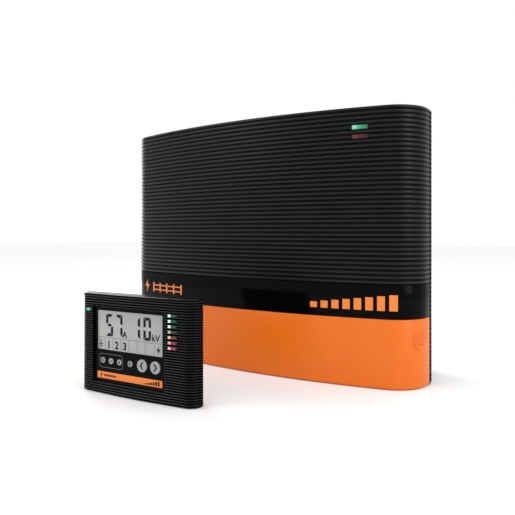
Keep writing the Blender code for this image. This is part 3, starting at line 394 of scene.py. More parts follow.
def brushedFinish(name, colours, roughness, axis, pitch=0.4):
    # drawn or turned metal: fine lines across one axis, a little darker in the grooves
    finish, tree, shader = startFinish(name, Metallic=1.0)
    place = addNode(tree, "TexCoord").outputs["Object"]
    stretch = [1.0, 1.0, 1.0]
    stretch[axis] = 0.04
    lines = addNode(tree, "Mapping", {"Scale": stretch}, {"Vector": place})
    streaks = addNode(tree, "TexNoise", {"Scale": 1000 / pitch, "Detail": 2.0},
                      {"Vector": lines.outputs["Vector"]})
    shade = addNode(tree, "Mix", {"data_type": "RGBA", 6: fromHex(colours[0]), 7: fromHex(colours[1])},
                    {0: streaks.outputs["Fac"]})
    sheen = addNode(tree, "MapRange", {"To Min": roughness[0], "To Max": roughness[1]},
                    {"Value": streaks.outputs["Fac"]})
    relief = addNode(tree, "Bump", {"Strength": 0.15, "Distance": 0.02 * mm},
                     {"Height": streaks.outputs["Fac"]})
    tree.links.new(shade.outputs[2], shader.inputs["Base Color"])
    tree.links.new(sheen.outputs["Result"], shader.inputs["Roughness"])
    tree.links.new(relief.outputs["Normal"], shader.inputs["Normal"])
    return finish


def lampFinish(name, stops, middle, along, width, glow=0.0):
    # tinted polycarbonate: colour stops laid along one axis, and glow makes it give out the same colours
    finish, tree, shader = startFinish(name, Roughness=0.28, Specular_IOR_Level=0.25)
    place = addNode(tree, "TexCoord").outputs["Object"]
    centred = addNode(tree, "VectorMath", {"operation": "SUBTRACT", 1: middle}, {0: place})
    across = addNode(tree, "VectorMath", {"operation": "DOT_PRODUCT", 1: along},
                     {0: centred.outputs["Vector"]})
    share = addNode(tree, "MapRange", {"From Min": -width / 2, "From Max": width / 2},
                    {"Value": across.outputs["Value"]})
    ramp = addNode(tree, "ValToRGB", {}, {"Fac": share.outputs["Result"]})
    ramp.color_ramp.elements[0].color = fromHex(stops[0][1])
    ramp.color_ramp.elements[0].position = stops[0][0]
    ramp.color_ramp.elements[1].color = fromHex(stops[-1][1])
    ramp.color_ramp.elements[1].position = stops[-1][0]
    for position, code in stops[1:-1]:
        ramp.color_ramp.elements.new(position).color = fromHex(code)
    tree.links.new(ramp.outputs["Color"], shader.inputs["Base Color"])
    if glow:
        tree.links.new(ramp.outputs["Color"], shader.inputs["Emission Color"])
        shader.inputs["Emission Strength"].default_value = glow
    return finish


finishes = {
    # spark-eroded moulded ABS: a dull black, with painted shade in the rib grooves so it lights up only along the
    # crests
    "ribbed": mouldedFinish("moulded ABS, spark eroded black", ("#08090A", "#0D0D0E"), (0.30, 0.37), 0.35,
                            0.015, ribs=(105 * mm, 4.76 * mm, 0.04, 0.26)),
    # the controller's finer spark texture: blacker, with painted shade in the rib grooves that leaves thin bright
    # crests
    "unit": mouldedFinish("moulded ABS, fine spark black", ("#020303", "#050506"), (0.22, 0.28), 0.30, 0.01,
                          ribs=(1.9 * mm, 2.42 * mm, 0.0, 0.24)),
    "rear": mouldedFinish("moulded ABS, black rear case", ("#0A0B0C", "#101112"), (0.38, 0.46), 0.5, 0.06,
                          Specular_IOR_Level=0.16),
    # polished ABS: near black and mirror-like, so it shows the softboxes
    "gloss": mouldedFinish("polished ABS, black", ("#030303", "#050506"), (0.10, 0.16), 1.2, 0.02,
                           Specular_IOR_Level=0.05),
    # moulded ABS in orange: satin, a touch deeper in patches as moulding flow leaves it
    "orange": mouldedFinish("moulded ABS, orange", ("#D8650E", "#DD6D14"), (0.30, 0.38), 0.5, 0.03,
                            Specular_IOR_Level=0.3),
    # printed ink: flat, slightly rough, thinner in places
    "inkOrange": mouldedFinish("screen ink, orange", ("#DE7420", "#E67E2A"), (0.45, 0.55), 0.5, 0.10, 6),
    "inkGrey": mouldedFinish("screen ink, grey", ("#4A4E54", "#565A60"), (0.45, 0.55), 0.5, 0.10, 6),
    "inkDark": mouldedFinish("screen ink, dark", ("#100B08", "#18110C"), (0.50, 0.60), 0.5, 0.10, 6,
                             Specular_IOR_Level=0.15),
    # acrylic over a reflective liquid crystal: pale grey with a faint sheen
    "display": mouldedFinish("acrylic over liquid crystal", ("#929492", "#9C9E9B"), (0.12, 0.20), 2.0, 0.01,
                             60, Coat_Weight=0.4),
    "segments": mouldedFinish("liquid crystal, dark segments", ("#0C0818", "#140E22"), (0.25, 0.35), 1.0,
                              0.02, 8, Specular_IOR_Level=0.12),
    "cellLine": mouldedFinish("liquid crystal, cell lines", ("#55595C", "#626669"), (0.30, 0.40), 1.0,
                              0.02, 8),
    # silicone rubber key caps: soft grey, matt
    "key": mouldedFinish("silicone rubber, grey", ("#8A8E90", "#969A9C"), (0.50, 0.60), 0.4, 0.08, 10),
    "rubber": mouldedFinish("silicone rubber, black", ("#161616", "#1C1C1C"), (0.65, 0.80), 0.5, 0.10),
    "knobRed": mouldedFinish("moulded nylon, red", ("#A8231B", "#B62B22"), (0.38, 0.48), 0.6, 0.10, 12),
    "knobGreen": mouldedFinish("moulded nylon, green", ("#25703C", "#2E7F47"), (0.38, 0.48), 0.6, 0.10, 12),
    "socket": mouldedFinish("moulded nylon, black", ("#131314", "#1B1B1C"), (0.45, 0.60), 0.6, 0.12, 15),
    "board": mouldedFinish("glass epoxy laminate", ("#184D30", "#1F5B3A"), (0.35, 0.50), 0.8, 0.25, 12),
    "sleeve": mouldedFinish("PVC sleeve, blue", ("#17233F", "#1F2D50"), (0.28, 0.38), 1.5, 0.08, 15),
    "glass": mouldedFinish("fuse glass", ("#CFD6D8", "#DADFE0"), (0.05, 0.12), 1.5, 0.02, 10,
                           Transmission_Weight=0.7),
    "guide": mouldedFinish("clear polycarbonate", ("#B9C2BE", "#C9D0CC"), (0.15, 0.25), 1.5, 0.03, 10),
    # metals: plated, drawn or stamped
    "brass": brushedFinish("brass, turned", ("#B8924A", "#D2AE62"), (0.22, 0.36), 1),
    "steel": brushedFinish("zinc-plated steel", ("#A4A8AC", "#C4C7CA"), (0.25, 0.42), 1),
    "core": brushedFinish("silicon steel laminations", ("#54585C", "#6A6E72"), (0.40, 0.55), 0, 0.5),
    "copper": brushedFinish("enamelled copper wire", ("#8E4522", "#B0603A"), (0.25, 0.38), 1, 0.8),
    "aluminium": brushedFinish("aluminium, extruded", ("#8B9094", "#A6AAAD"), (0.30, 0.45), 2),
}
print("finishes made", len(finishes))


# energizer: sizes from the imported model

coverLow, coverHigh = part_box("front_cover")
orangeLow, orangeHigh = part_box("terminal_cover")
bandLow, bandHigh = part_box("name_band")
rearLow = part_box("rear_case")[0]
energizer = {
    "halfWidth": (coverHigh.x - coverLow.x) / 2,
    "bow": 27.5 * mm,
    "corner": 39.2 * mm,
    "frontY": coverLow.y,
    "backY": coverHigh.y,
    "bowSteps": 22,
    "cornerSteps": 12,
}
ribs = {
    "pitch": 4.76 * mm,
    "count": 37,
    "start": 105 * mm,
    "profile": ((0, 1.05), (0.45, 1.0), (0.80, 0.45), (1.20, 0.12), (2.38, 0.0), (3.56, 0.12),
                (3.96, 0.45), (4.31, 1.0), (4.76, 1.05)),   # height and inset in mm over one rib
    "crown": ((2.6, 0.12), (1.6, 0.10), (1.0, 0.24), (0.5, 0.60), (0.15, 1.15), (0, 1.9)),   # mm below the top, inset
    "bandSeat": 1.5 * mm,          # the name band lies this deep in the cover
    "wall": 3 * mm,
    "lensRoom": 1.2 * mm,          # a lens's shoulder is this much larger than its slot
}


def buildRibbedCover():
    cover = startPiece("ribbed_cover")
    layWall(energizer, [(ribs["start"] + z * mm, inset * mm) for z, inset in ribs["profile"]])
    bpy.ops.object.mode_set(mode="OBJECT")
    shapeWith(cover, "ARRAY", count=ribs["count"], use_relative_offset=False, use_constant_offset=True,
              constant_offset_displace=(0, 0, ribs["pitch"]), use_merge_vertices=True,
              merge_threshold=0.01 * mm)
    bpy.ops.object.mode_set(mode="EDIT")
    ribsEnd = ribs["start"] + ribs["count"] * ribs["pitch"]
    seat = [(coverLow.z, ribs["bandSeat"]), (ribs["start"] - 0.4 * mm, ribs["bandSeat"])]
    top = coverHigh.z
    lastGroove = [(ribsEnd + z * mm, inset * mm) for z, inset in ribs["profile"][1:3]]
    crown = lastGroove + [(top - down * mm, inset * mm) for down, inset in ribs["crown"]]
    for z, inset in seat + crown:
        layOutline(energizer, inset, z)
    bridgeLevels([z for z, inset in seat] + [ribs["start"]])
    bridgeLevels([ribsEnd] + [z for z, inset in crown])
    closeForm(cover, coverLow.z, top)
    wall, room = ribs["wall"], ribs["lensRoom"]
    cutAway(cover, hollowTool(energizer, wall + ribs["bandSeat"], coverLow.z - 5 * mm, top - wall))
    for node in ("fence_lamp_lens", "fault_lamp_lens"):
        low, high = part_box(node)
        cutAway(cover, startBox("lens_slot", (low.x + room, -0.2, low.z + room), (high.x - room, 0, high.z - room)))
    return settle(cover, "energizer", finishes["ribbed"], ("front_cover",))


buildRibbedCover()
print("ribbed cover made")


rimGrooves = {
    "count": 59, "fromStart": -21,   # in ribs of the cover
    "depth": 1.05 * mm, "halfHeight": 0.45 * mm, "flare": 5.0, "reach": 6.2 * mm,
}


def buildRearCase():
    # the plain rim is grooved with the same ribs as the cover
    g = rimGrooves
    rear = refineNode("rear_case", "rear_case_shell", "energizer", finishes["rear"], edge=0.6)
    grooves = []
    first = ribs["start"] + g["fromStart"] * ribs["pitch"]
    for side in (-1, 1):
        face = side * energizer["halfWidth"]
        low, high = sorted((face - side * g["depth"], face + side * 1 * mm))
        groove = startBox("rim_groove", (low, rearLow.y - 1 * mm, first - g["halfHeight"]),
                          (high, rearLow.y + g["reach"], first + g["halfHeight"]))
        bpy.ops.object.mode_set(mode="EDIT")
        pick("FACE", lambda f: f.normal.x * side > 0.9)
        bpy.ops.transform.resize(value=(1, 1, g["flare"]))
        bpy.ops.object.mode_set(mode="OBJECT")
        shapeWith(groove, "ARRAY", count=g["count"], use_relative_offset=False, use_constant_offset=True,
                  constant_offset_displace=(0, 0, ribs["pitch"]))
        grooves.append(groove)
    cutAway(rear, joinUp(*grooves))
    return rear


buildRearCase()


def buildNameBand():
    gap = 0.3 * mm
    band = startPiece("name_band_strip")
    low, high = bandLow.z, bandHigh.z
    layWall(energizer, [(low, 0.25 * mm), (low + 0.1 * mm, 0.08 * mm), (low + gap, 0.0),
                        (high - gap, 0.0), (high - 0.1 * mm, 0.08 * mm), (high, 0.25 * mm)])
    bpy.ops.object.mode_set(mode="OBJECT")
    shapeWith(band, "MIRROR", merge_threshold=0.01 * mm)
    faceOutwards(band)
    shapeWith(band, "SOLIDIFY", thickness=0.9 * mm, offset=-1, use_rim=True)
    return settle(band, "energizer", finishes["gloss"], ("name_band",))


band = buildNameBand()

bandMarks = {
    "boltX": -163 * mm, "boltZ": 87 * mm, "boltHeight": 17 * mm,
    "fenceStart": -148 * mm, "fenceEnd": -92 * mm,
    "levelStart": 94 * mm, "levelStep": 11.6 * mm, "levelWidth": 7.6 * mm, "levelCount": 8,
    "levelFoot": 79 * mm, "levelLow": 6 * mm, "levelHigh": 16 * mm,
    "ink": 0.12 * mm,
}


def buildBandMarks():
    m = bandMarks
    shapes = boltShape(m["boltX"], m["boltZ"], m["boltHeight"])
    posts = 5
    for i in range(posts):
        x = m["fenceStart"] + (m["fenceEnd"] - m["fenceStart"]) * i / (posts - 1)
        shapes.append(rectangle(x, 86 * mm, 2.6 * mm, 12 * mm))
        if i < posts - 1:
            step = (m["fenceEnd"] - m["fenceStart"]) / (posts - 1)
            for z in (83.2 * mm, 88.8 * mm):
                shapes.append(rectangle(x + step / 2, z, step - 3.6 * mm, 1.4 * mm))
    fence = drawShapes("fence_mark", shapes)
    levels = []
    for i in range(m["levelCount"]):
        height = m["levelLow"] + (m["levelHigh"] - m["levelLow"]) * i / (m["levelCount"] - 1)
        x = m["levelStart"] + i * m["levelStep"]
        levels.append(rectangle(x, m["levelFoot"] + height / 2, m["levelWidth"], height))
    level = drawShapes("level_mark", levels)
    for mark in (fence, level):
        movePiece(mark, (0, energizer["frontY"] - 1 * mm, 0))
        wrapOnto(mark, band, 3, straight=True)
        thicken(mark, m["ink"])
        settle(mark, "energizer", finishes["inkOrange"])


buildBandMarks()
print("rear case and name band made")


# terminal cover

orange = {
    "foot": 3 * mm,                # rounding of the foot, and its thickness
    "wall": 3 * mm,
    "cableExit": ((-75 * mm, -60 * mm, -5 * mm), (75 * mm, -48 * mm, 10 * mm)),
}


def buildTerminalCover():
    plan = dict(energizer, backY=orangeHigh.y)
    cover = startPiece("orange_terminal_cover")
    foot, top, rounding = orangeLow.z, orangeHigh.z, orange["foot"]
    profile = []
    for step in range(6):
        angle = math.pi / 2 * step / 5
        profile.append((foot + rounding * (1 - math.cos(angle)), rounding * (1 - math.sin(angle))))
    profile += [(top - 0.5 * mm, 0.0), (top - 0.15 * mm, 0.12 * mm), (top, 0.4 * mm)]
    layWall(plan, profile)
    closeForm(cover, foot, top)
    cutAway(cover, hollowTool(plan, orange["wall"], foot + orange["foot"], top + 5 * mm))
    cutAway(cover, startBox("cable_exit_tool", *orange["cableExit"]))
    return settle(cover, "terminal_cover", finishes["orange"], ("terminal_cover",))


orangeCover = buildTerminalCover()

gripMark = {
    "angle": 0.93,           # round the corner from where the bow ends
    "width": 16.4 * mm,
    "bars": (56.0 * mm, 52.7 * mm, 49.4 * mm, 46.1 * mm),
    "barHeight": 1.7 * mm,
    "arrowTop": 44.4 * mm,
    "arrowTip": 37.6 * mm,
    "proud": 0.7 * mm,
}


def buildGripMark(side):
    g = gripMark
    half, corner = energizer["halfWidth"], energizer["corner"]
    radius = (half ** 2 + energizer["bow"] ** 2) / (2 * energizer["bow"])
    cornerX = half - corner
    cornerY = energizer["frontY"] + radius - math.sqrt((radius - corner) ** 2 - cornerX ** 2)
    facing = math.atan2(cornerX, energizer["frontY"] + radius - cornerY) + g["angle"]
    shapes = [rectangle(0, z, g["width"], g["barHeight"]) for z in g["bars"]]
    shapes.append([(-g["width"] / 2, g["arrowTop"]), (0, g["arrowTip"]), (g["width"] / 2, g["arrowTop"])])
    mark = drawShapes("grip_mark_right" if side > 0 else "grip_mark_left", shapes)
    spot = Vector((side * (cornerX + corner * math.sin(facing)), cornerY - corner * math.cos(facing), 0))
    movePiece(mark, Matrix.Translation(spot) @ Matrix.Rotation(side * facing, 4, "Z"))
    wrapOnto(mark, orangeCover, cuts=7)
    thicken(mark, 2 * g["proud"])
    roundEdges(mark, 0.3 * mm, 2, 60)
    return settle(mark, "terminal_cover", finishes["orange"])


for side in (-1, 1):
    buildGripMark(side)
print("terminal cover made")


# status lenses take the place of one rib each

lensSizes = {"width": 16.2 * mm, "height": 4.2 * mm, "depth": 4.5 * mm, "rounding": 0.7 * mm}
# the light stop near the left end of each lens is a painted highlight, a reflection of the light laid into the colour
lensLooks = {
    "fence_lamp_lens": ("green_fence_lens", "lens_green",
                        ((0.0, "#1A6C49"), (0.12, "#86D8B4"), (0.45, "#3F9C78"), (1.0, "#166A45"))),
    "fault_lamp_lens": ("red_fault_lens", "lens_red",
                        ((0.0, "#2E1013"), (0.15, "#653038"), (0.5, "#4A2127"), (1.0, "#331419"))),
}


def buildStatusLens(node):
    name, slot, stops = lensLooks[node]
    low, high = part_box(node)
    x, z = (low.x + high.x) / 2, (low.z + high.z) / 2
    width, height = lensSizes["width"], lensSizes["height"]
    face = bowY(energizer, x)
    lens = startBox(name, (x - width / 2, face, z - height / 2),
                    (x + width / 2, face + lensSizes["depth"], z + height / 2))
    takeUp(lens)
    bpy.ops.object.mode_set(mode="EDIT")
    pick("EDGE", lambda e: abs(e.verts[0].co.x - e.verts[1].co.x) > width / 2)
    bpy.ops.mesh.subdivide(number_cuts=5)
    bpy.ops.object.mode_set(mode="OBJECT")
    for vertex in lens.data.vertices:   # each end follows the bow
        vertex.co.y += bowY(energizer, vertex.co.x) - face
    roundEdges(lens, lensSizes["rounding"], 4, 50)
    finish = lampFinish("tinted polycarbonate, " + slot[5:], stops, (x, 0, z), (1, 0, 0), width)
    return settle(lens, "energizer", finish, (node,))


for node in lensLooks:
    buildStatusLens(node)
print("status lenses made")


# terminals

knobSizes = {
    "flutes": 12, "fluteRadius": 1.5 * mm, "fluteOut": 0.6 * mm, "skirt": 4 * mm,
    "bore": 3.4 * mm, "boreDepth": 16.5 * mm, "dish": 0.8 * mm, "rounding": 0.35 * mm,
}


def buildKnob(node, name, body, finish):
    # fluted thumb nut, turned about its stud
    k = knobSizes
    low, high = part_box(node)
    x, z = (low.x + high.x) / 2, (low.z + high.z) / 2
    radius, front, back = (high.x - low.x) / 2, low.y, high.y
    knob = startRod(name, radius, (x, front, z), (x, back, z), 48)
    bpy.ops.object.mode_set(mode="EDIT")
    pick("FACE", lambda f: f.normal.y < -0.9)
    bpy.ops.mesh.inset(thickness=radius * 0.22, depth=0)
    bpy.ops.mesh.inset(thickness=radius * 0.18, depth=-k["dish"])
    bpy.ops.object.mode_set(mode="OBJECT")
    flutes = []
    for i in range(k["flutes"]):
        angle = math.radians(360 / k["flutes"] * i)
        fluteX = x + (radius + k["fluteOut"]) * math.cos(angle)
        fluteZ = z + (radius + k["fluteOut"]) * math.sin(angle)
        flutes.append(startRod("flute", k["fluteRadius"], (fluteX, front - 1 * mm, fluteZ),
                               (fluteX, back - k["skirt"], fluteZ), 14))
    tool = joinUp(flutes[0], *flutes[1:])
    cutAway(knob, tool)
    cutAway(knob, startRod("bore", k["bore"], (x, back - k["boreDepth"], z), (x, back + 1 * mm, z), 24))
    roundEdges(knob, k["rounding"], 2, 35)
    return settle(knob, body, finish, (node,))


for number in range(1, 5):
    colour, slot = (("knobRed", "knob_red"), ("knobGreen", "knob_green"))[(number + 1) % 2]
    buildKnob(f"terminal_knob_{number}", f"fluted_knob_{number}", f"knob_{number}", finishes[colour])
    refineNode(f"clamp_washer_{number}", f"clamp_disc_{number}", f"clamp_{number}", finishes["brass"],
               edge=0.25)
    refineNode(f"terminal_stud_{number}", f"threaded_stud_{number}", "energizer", finishes["brass"],
               edge=0.2)
refineNode("terminal_tray", "terminal_tray_moulding", "energizer", finishes["rear"], edge=0.5)
print("terminals made")


# sockets, screws and seal

for node, name in (("mains_inlet", "mains_inlet_moulding"), ("controller_port", "controller_port_moulding")):
    refineNode(node, name, "energizer", finishes["socket"], edge=0.3)
refineNode("controller_socket", "controller_socket_moulding", "controller", finishes["socket"],
           edge=0.25)


def buildScrew(node, name, body, slotWidth):
    low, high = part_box(node)
    screw = refineNode(node, name, body, finishes["steel"], edge=0.2)
    headY = high.y
    centre = (low + high) / 2
    reach = (high.x - low.x) * 0.3
    for wide, tall in ((reach, slotWidth), (slotWidth, reach)):
        cutAway(screw, startBox("recess", (centre.x - wide, headY - 1.2 * mm, centre.z - tall),
                                (centre.x + wide, headY + 2 * mm, centre.z + tall)))
    return screw


for number in range(1, 5):
    buildScrew(f"case_screw_{number}", f"case_screw_cross_{number}", "energizer", 0.55 * mm)
    buildScrew(f"controller_screw_{number}", f"controller_screw_cross_{number}", "controller", 0.35 * mm)
print("fixings made")


# controller: its own frame, turned a little from the energizer's

keyJoint = next(j for j in frame["record"]["behaviour"]["joints"] if j["name"] == "standby_key_press")
turn = Matrix.Rotation(math.atan2(-keyJoint["axis"][0], keyJoint["axis"][1]), 4, "Z")
fasciaLow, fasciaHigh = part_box("controller_fascia")
fasciaMiddle = (fasciaLow + fasciaHigh) / 2
unitSizes = {"fasciaFront": 4.6 * mm, "fasciaThick": 2.0 * mm, "fasciaAcross": -6.75 * mm}
fasciaDepth = unitSizes["fasciaFront"] + unitSizes["fasciaThick"] / 2
fromMiddle = turn @ Vector((unitSizes["fasciaAcross"], fasciaDepth, 0))
unitPlace = Matrix.Translation((fasciaMiddle.x - fromMiddle.x, fasciaMiddle.y - fromMiddle.y, 0)) @ turn

unit = {
    "halfWidth": 71.9 * mm, "bow": 3.3 * mm, "corner": 11.9 * mm, "frontY": 0.0, "backY": 15.5 * mm,
    "bowSteps": 14, "cornerSteps": 8,
    "height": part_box("controller_front_shell")[1].z,
    "ribPitch": 2.42 * mm, "ribDepth": 0.85 * mm, "ribStart": 1.9 * mm, "ribCount": 38,
    "foot": ((0.0, 2.4), (0.3, 1.4), (0.9, 0.6), (1.5, 0.35)),            # mm above the foot, inset
    "crown": ((2.9, 0.20), (2.2, 0.05), (1.2, 0.35), (0.5, 1.0), (0.1, 1.9), (0, 3.0)),   # mm below the top, inset
    "wall": 2 * mm, "topWall": 4.8 * mm,
    "window": (-52 * mm, 38.5 * mm, 12.5 * mm, 85.5 * mm),
    "frame": 2.8 * mm,             # width of the window's return walls
    "ledge": 4 * mm,
    "power": ((-62.6 * mm, -5 * mm, 79.6 * mm), (-54.0 * mm, 8 * mm, 82.8 * mm)),
}
lamps = {
    "x": 47.1 * mm, "top": 82.1 * mm, "pitch": 4.9 * mm, "size": (9.0 * mm, 2.4 * mm),
    "depth": 1.2 * mm, "proud": 0.45 * mm, "gap": 0.05 * mm,
    # each look is (colour, painted highlight, middle, deep): the pale second colour is a painted highlight near each
    # lamp's left end
    "looks": (("green", "#C8E8DA", "#14503A", "#061A12"),) * 3 + (
        ("yellow", "#B4B278", "#3A3828", "#14130E"), ("amber", "#CCB88C", "#70382A", "#2A1410"),
        ("red", "#E09CA6", "#8A2C3C", "#4A1620"), ("red", "#E4A8B4", "#923048", "#541824")),
}


def buildUnitShell():
    u = unit
    shell = startPiece("ribbed_controller_shell")
    p, d = u["ribPitch"], u["ribDepth"]
    rib = [(0, d), (0.16 * p, d * 0.92), (0.28 * p, d * 0.35), (0.5 * p, 0.0), (0.72 * p, d * 0.35),
           (0.84 * p, d * 0.92), (p, d)]
    layWall(u, [(u["ribStart"] + z, inset) for z, inset in rib])
    bpy.ops.object.mode_set(mode="OBJECT")
    shapeWith(shell, "ARRAY", count=u["ribCount"], use_relative_offset=False, use_constant_offset=True,
              constant_offset_displace=(0, 0, p), use_merge_vertices=True, merge_threshold=0.005 * mm)
    bpy.ops.object.mode_set(mode="EDIT")
    ribsEnd = u["ribStart"] + u["ribCount"] * p
    top = u["height"]
    foot = [(up * mm, inset * mm) for up, inset in u["foot"]]
    crown = [(top - down * mm, inset * mm) for down, inset in u["crown"]]
    for z, inset in foot + crown:
        layOutline(u, inset, z)
    bridgeLevels([z for z, inset in foot] + [u["ribStart"]])
    bridgeLevels([ribsEnd] + [z for z, inset in crown])
    closeForm(shell, 0.0, top)
    left, right, bottom, upper = u["window"]
    face, rim = unitSizes["fasciaFront"], u["frame"]
    hollow = hollowTool(u, u["wall"], u["wall"], top - u["topWall"])
    cutAway(hollow, startBox("window_rim", (left - rim, -5 * mm, bottom - rim - u["ledge"]),
                             (right + rim, face - 0.03 * mm, upper + rim)))   # left standing round the window
    cutAway(shell, hollow, startBox("window_tool", (left, -10 * mm, bottom), (right, 12 * mm, upper)))
    sill = startBox("sill_tool", (left, -10 * mm, bottom), (right, face, bottom + 2 * mm))
    bpy.ops.object.mode_set(mode="EDIT")   # the sill slopes down and out to the front
    pick("EDGE", lambda e: all(v.co.z < bottom + mm and v.co.y < 0 for v in e.verts))
    bpy.ops.transform.translate(value=(0, 0, -u["ledge"] / face * (face + 10 * mm)))
    bpy.ops.object.mode_set(mode="OBJECT")
    cutAway(shell, sill, startBox("power_slot", *u["power"]))
    wide, tall = (size / 2 + lamps["gap"] for size in lamps["size"])
    for number in range(len(lamps["looks"])):
        z = lamps["top"] - lamps["pitch"] * number
        cutAway(shell, startBox("lamp_slot", (lamps["x"] - wide, -5 * mm, z - tall),
                                (lamps["x"] + wide, 8 * mm, z + tall)))
    movePiece(shell, unitPlace)
    return settle(shell, "controller", finishes["unit"], ("controller_front_shell",))


buildUnitShell()
refineNode("controller_rear_shell", "controller_rear_moulding", "controller", finishes["rear"],
           edge=0.5)
refineNode("controller_fascia", "controller_fascia_panel", "controller", finishes["gloss"],
           edge=0.15)
print("controller shell made")


# display

screen = {
    "left": -48 * mm, "right": 33.6 * mm, "bottom": 42.3 * mm, "top": 81.2 * mm,
    "face": 4.95 * mm, "ink": 0.06 * mm,
    "digits": ((-32.3 * mm, "5"), (-20.1 * mm, "7"), (2.0 * mm, "1"), (15.2 * mm, "0")),
    "digitSize": (9.2 * mm, 21.6 * mm), "digitFoot": 56.2 * mm, "stroke": 2.9 * mm,
    "rule": 54.6 * mm, "line": 0.45 * mm, "edgeGap": 0.3 * mm, "depth": 2.9 * mm,
    # name, characters, across, foot, height of a capital and weight, in mm
    "words": (("units_amps", "A", -12.7, 56.4, 5.8, 0.20), ("units_kilovolts", "kV", 25.4, 56.4, 6.0, 0.20),
              ("cell_1", "1", -33.3, 44.5, 7.0, 0.28), ("cell_2", "2", -23.0, 44.5, 7.0, 0.28),
              ("cell_3", "3", -12.7, 44.5, 7.0, 0.28)),
    "bolt": (28.6 * mm, 48.2 * mm, 8.0 * mm),
    "groundX": -43.6 * mm,
    "ground": ((50.2, 0.8, 4.0), (47.8, 5.0, 0.8), (46.2, 3.4, 0.8), (44.6, 1.8, 0.8)),   # height and size, mm
    "cells": (-38.4 * mm, -28.0 * mm, -17.8 * mm, -7.6 * mm, 2.7 * mm, 12.9 * mm, 23.6 * mm),
}
segmentsOf = {"0": "abcdef", "1": "bc", "5": "afgcd", "7": "abc"}


def digitShapes(x, character):
    width, height = screen["digitSize"]
    t, foot = screen["stroke"], screen["digitFoot"]
    left, right = x - width / 2, x + width / 2
    middle, head = foot + height / 2, foot + height
    gap, cant = 0.35 * mm, t * 0.55

    slant = gap + cant * 0.2
    bars = {
        "a": [(left + slant, head), (right - slant, head), (right - t, head - t), (left + t, head - t)],
        "d": [(left + slant, foot), (right - slant, foot), (right - t, foot + t), (left + t, foot + t)],
        "g": [(left + t * 0.6, middle), (left + t * 1.2, middle + t / 2), (right - t * 1.2, middle + t / 2),
              (right - t * 0.6, middle), (right - t * 1.2, middle - t / 2), (left + t * 1.2, middle - t / 2)],
        "f": [(left, middle + gap + cant / 2), (left + t, middle + gap + cant),
              (left + t, head - t - gap / 2), (left, head - gap)],
        "b": [(right, middle + gap + cant / 2), (right, head - gap), (right - t, head - t - gap / 2),
              (right - t, middle + gap + cant)],
        "e": [(left, middle - gap - cant / 2), (left, foot + gap), (left + t, foot + t + gap / 2),
              (left + t, middle - gap - cant)],
        "c": [(right, middle - gap - cant / 2), (right - t, middle - gap - cant),
              (right - t, foot + t + gap / 2), (right, foot + gap)],
    }
    return [bars[name] for name in segmentsOf[character]]


def onUnit(piece, y, body="controller", finish="segments"):
    movePiece(piece, unitPlace @ Matrix.Translation((0, y, 0)))
    return settle(piece, body, finishes[finish])


def writeText(name, text, x, z, height, weight):  # characters as a flat mesh in x and z
    clearPicks()
    bpy.ops.object.text_add()
    words = bpy.context.object
    words.name = name
    words.data.body = text
    words.data.align_x = "CENTER"
    words.data.size = height / 0.69       # a capital is 0.69 of the size
    words.data.offset = weight
    words.data.resolution_u = 3
    bpy.ops.object.convert(target="MESH")
    movePiece(words, Matrix.Translation((x, 0, z)) @ Matrix.Rotation(math.pi / 2, 4, "X"))
    return words


def buildDisplay():
    s = screen
    gap = s["edgeGap"]
    panel = startBox("display_window", (s["left"] + gap, s["face"], s["bottom"] + gap),
                     (s["right"] - gap, s["face"] + s["depth"], s["top"] - gap))
    roundEdges(panel, 0.2 * mm, 2)
    movePiece(panel, unitPlace)
    settle(panel, "controller", finishes["display"], ("display_panel",))

    shapes = []
    for x, character in s["digits"]:
        shapes += digitShapes(x, character)
    numbers = drawShapes("display_digits", shapes)
    letters = [writeText(name, text, x * mm, z * mm, height * mm, weight * mm)
               for name, text, x, z, height, weight in s["words"]]
    joinUp(numbers, *letters)
    symbols = boltShape(*s["bolt"])
    symbols += [rectangle(s["groundX"], z * mm, width * mm, height * mm) for z, width, height in s["ground"]]
    joinUp(numbers, drawShapes("display_symbols", symbols))
    thicken(numbers, s["ink"])
    onUnit(numbers, s["face"] - s["ink"] / 2)

    middle, tall = (s["bottom"] + s["rule"]) / 2, s["rule"] - s["bottom"] - 1.2 * mm
    lines = [rectangle((s["left"] + s["right"]) / 2, s["rule"], s["right"] - s["left"] - 2 * gap, s["line"])]
    lines += [rectangle(x, middle, s["line"], tall) for x in s["cells"]]
    grid = thicken(drawShapes("display_grid", lines), s["ink"] * 0.8)
    onUnit(grid, s["face"] - s["ink"] * 0.4, finish="cellLine")


buildDisplay()
print("display made")


# printing on the fascia

strip = {"left": -48 * mm, "right": 33.6 * mm, "bottom": 14.4 * mm, "top": 20.9 * mm, "ink": 0.08 * mm}
frameLine = {"left": -45.6 * mm, "right": -14.8 * mm, "bottom": 25.0 * mm, "top": 38.8 * mm,
             "corner": 3.4 * mm, "line": 0.5 * mm}


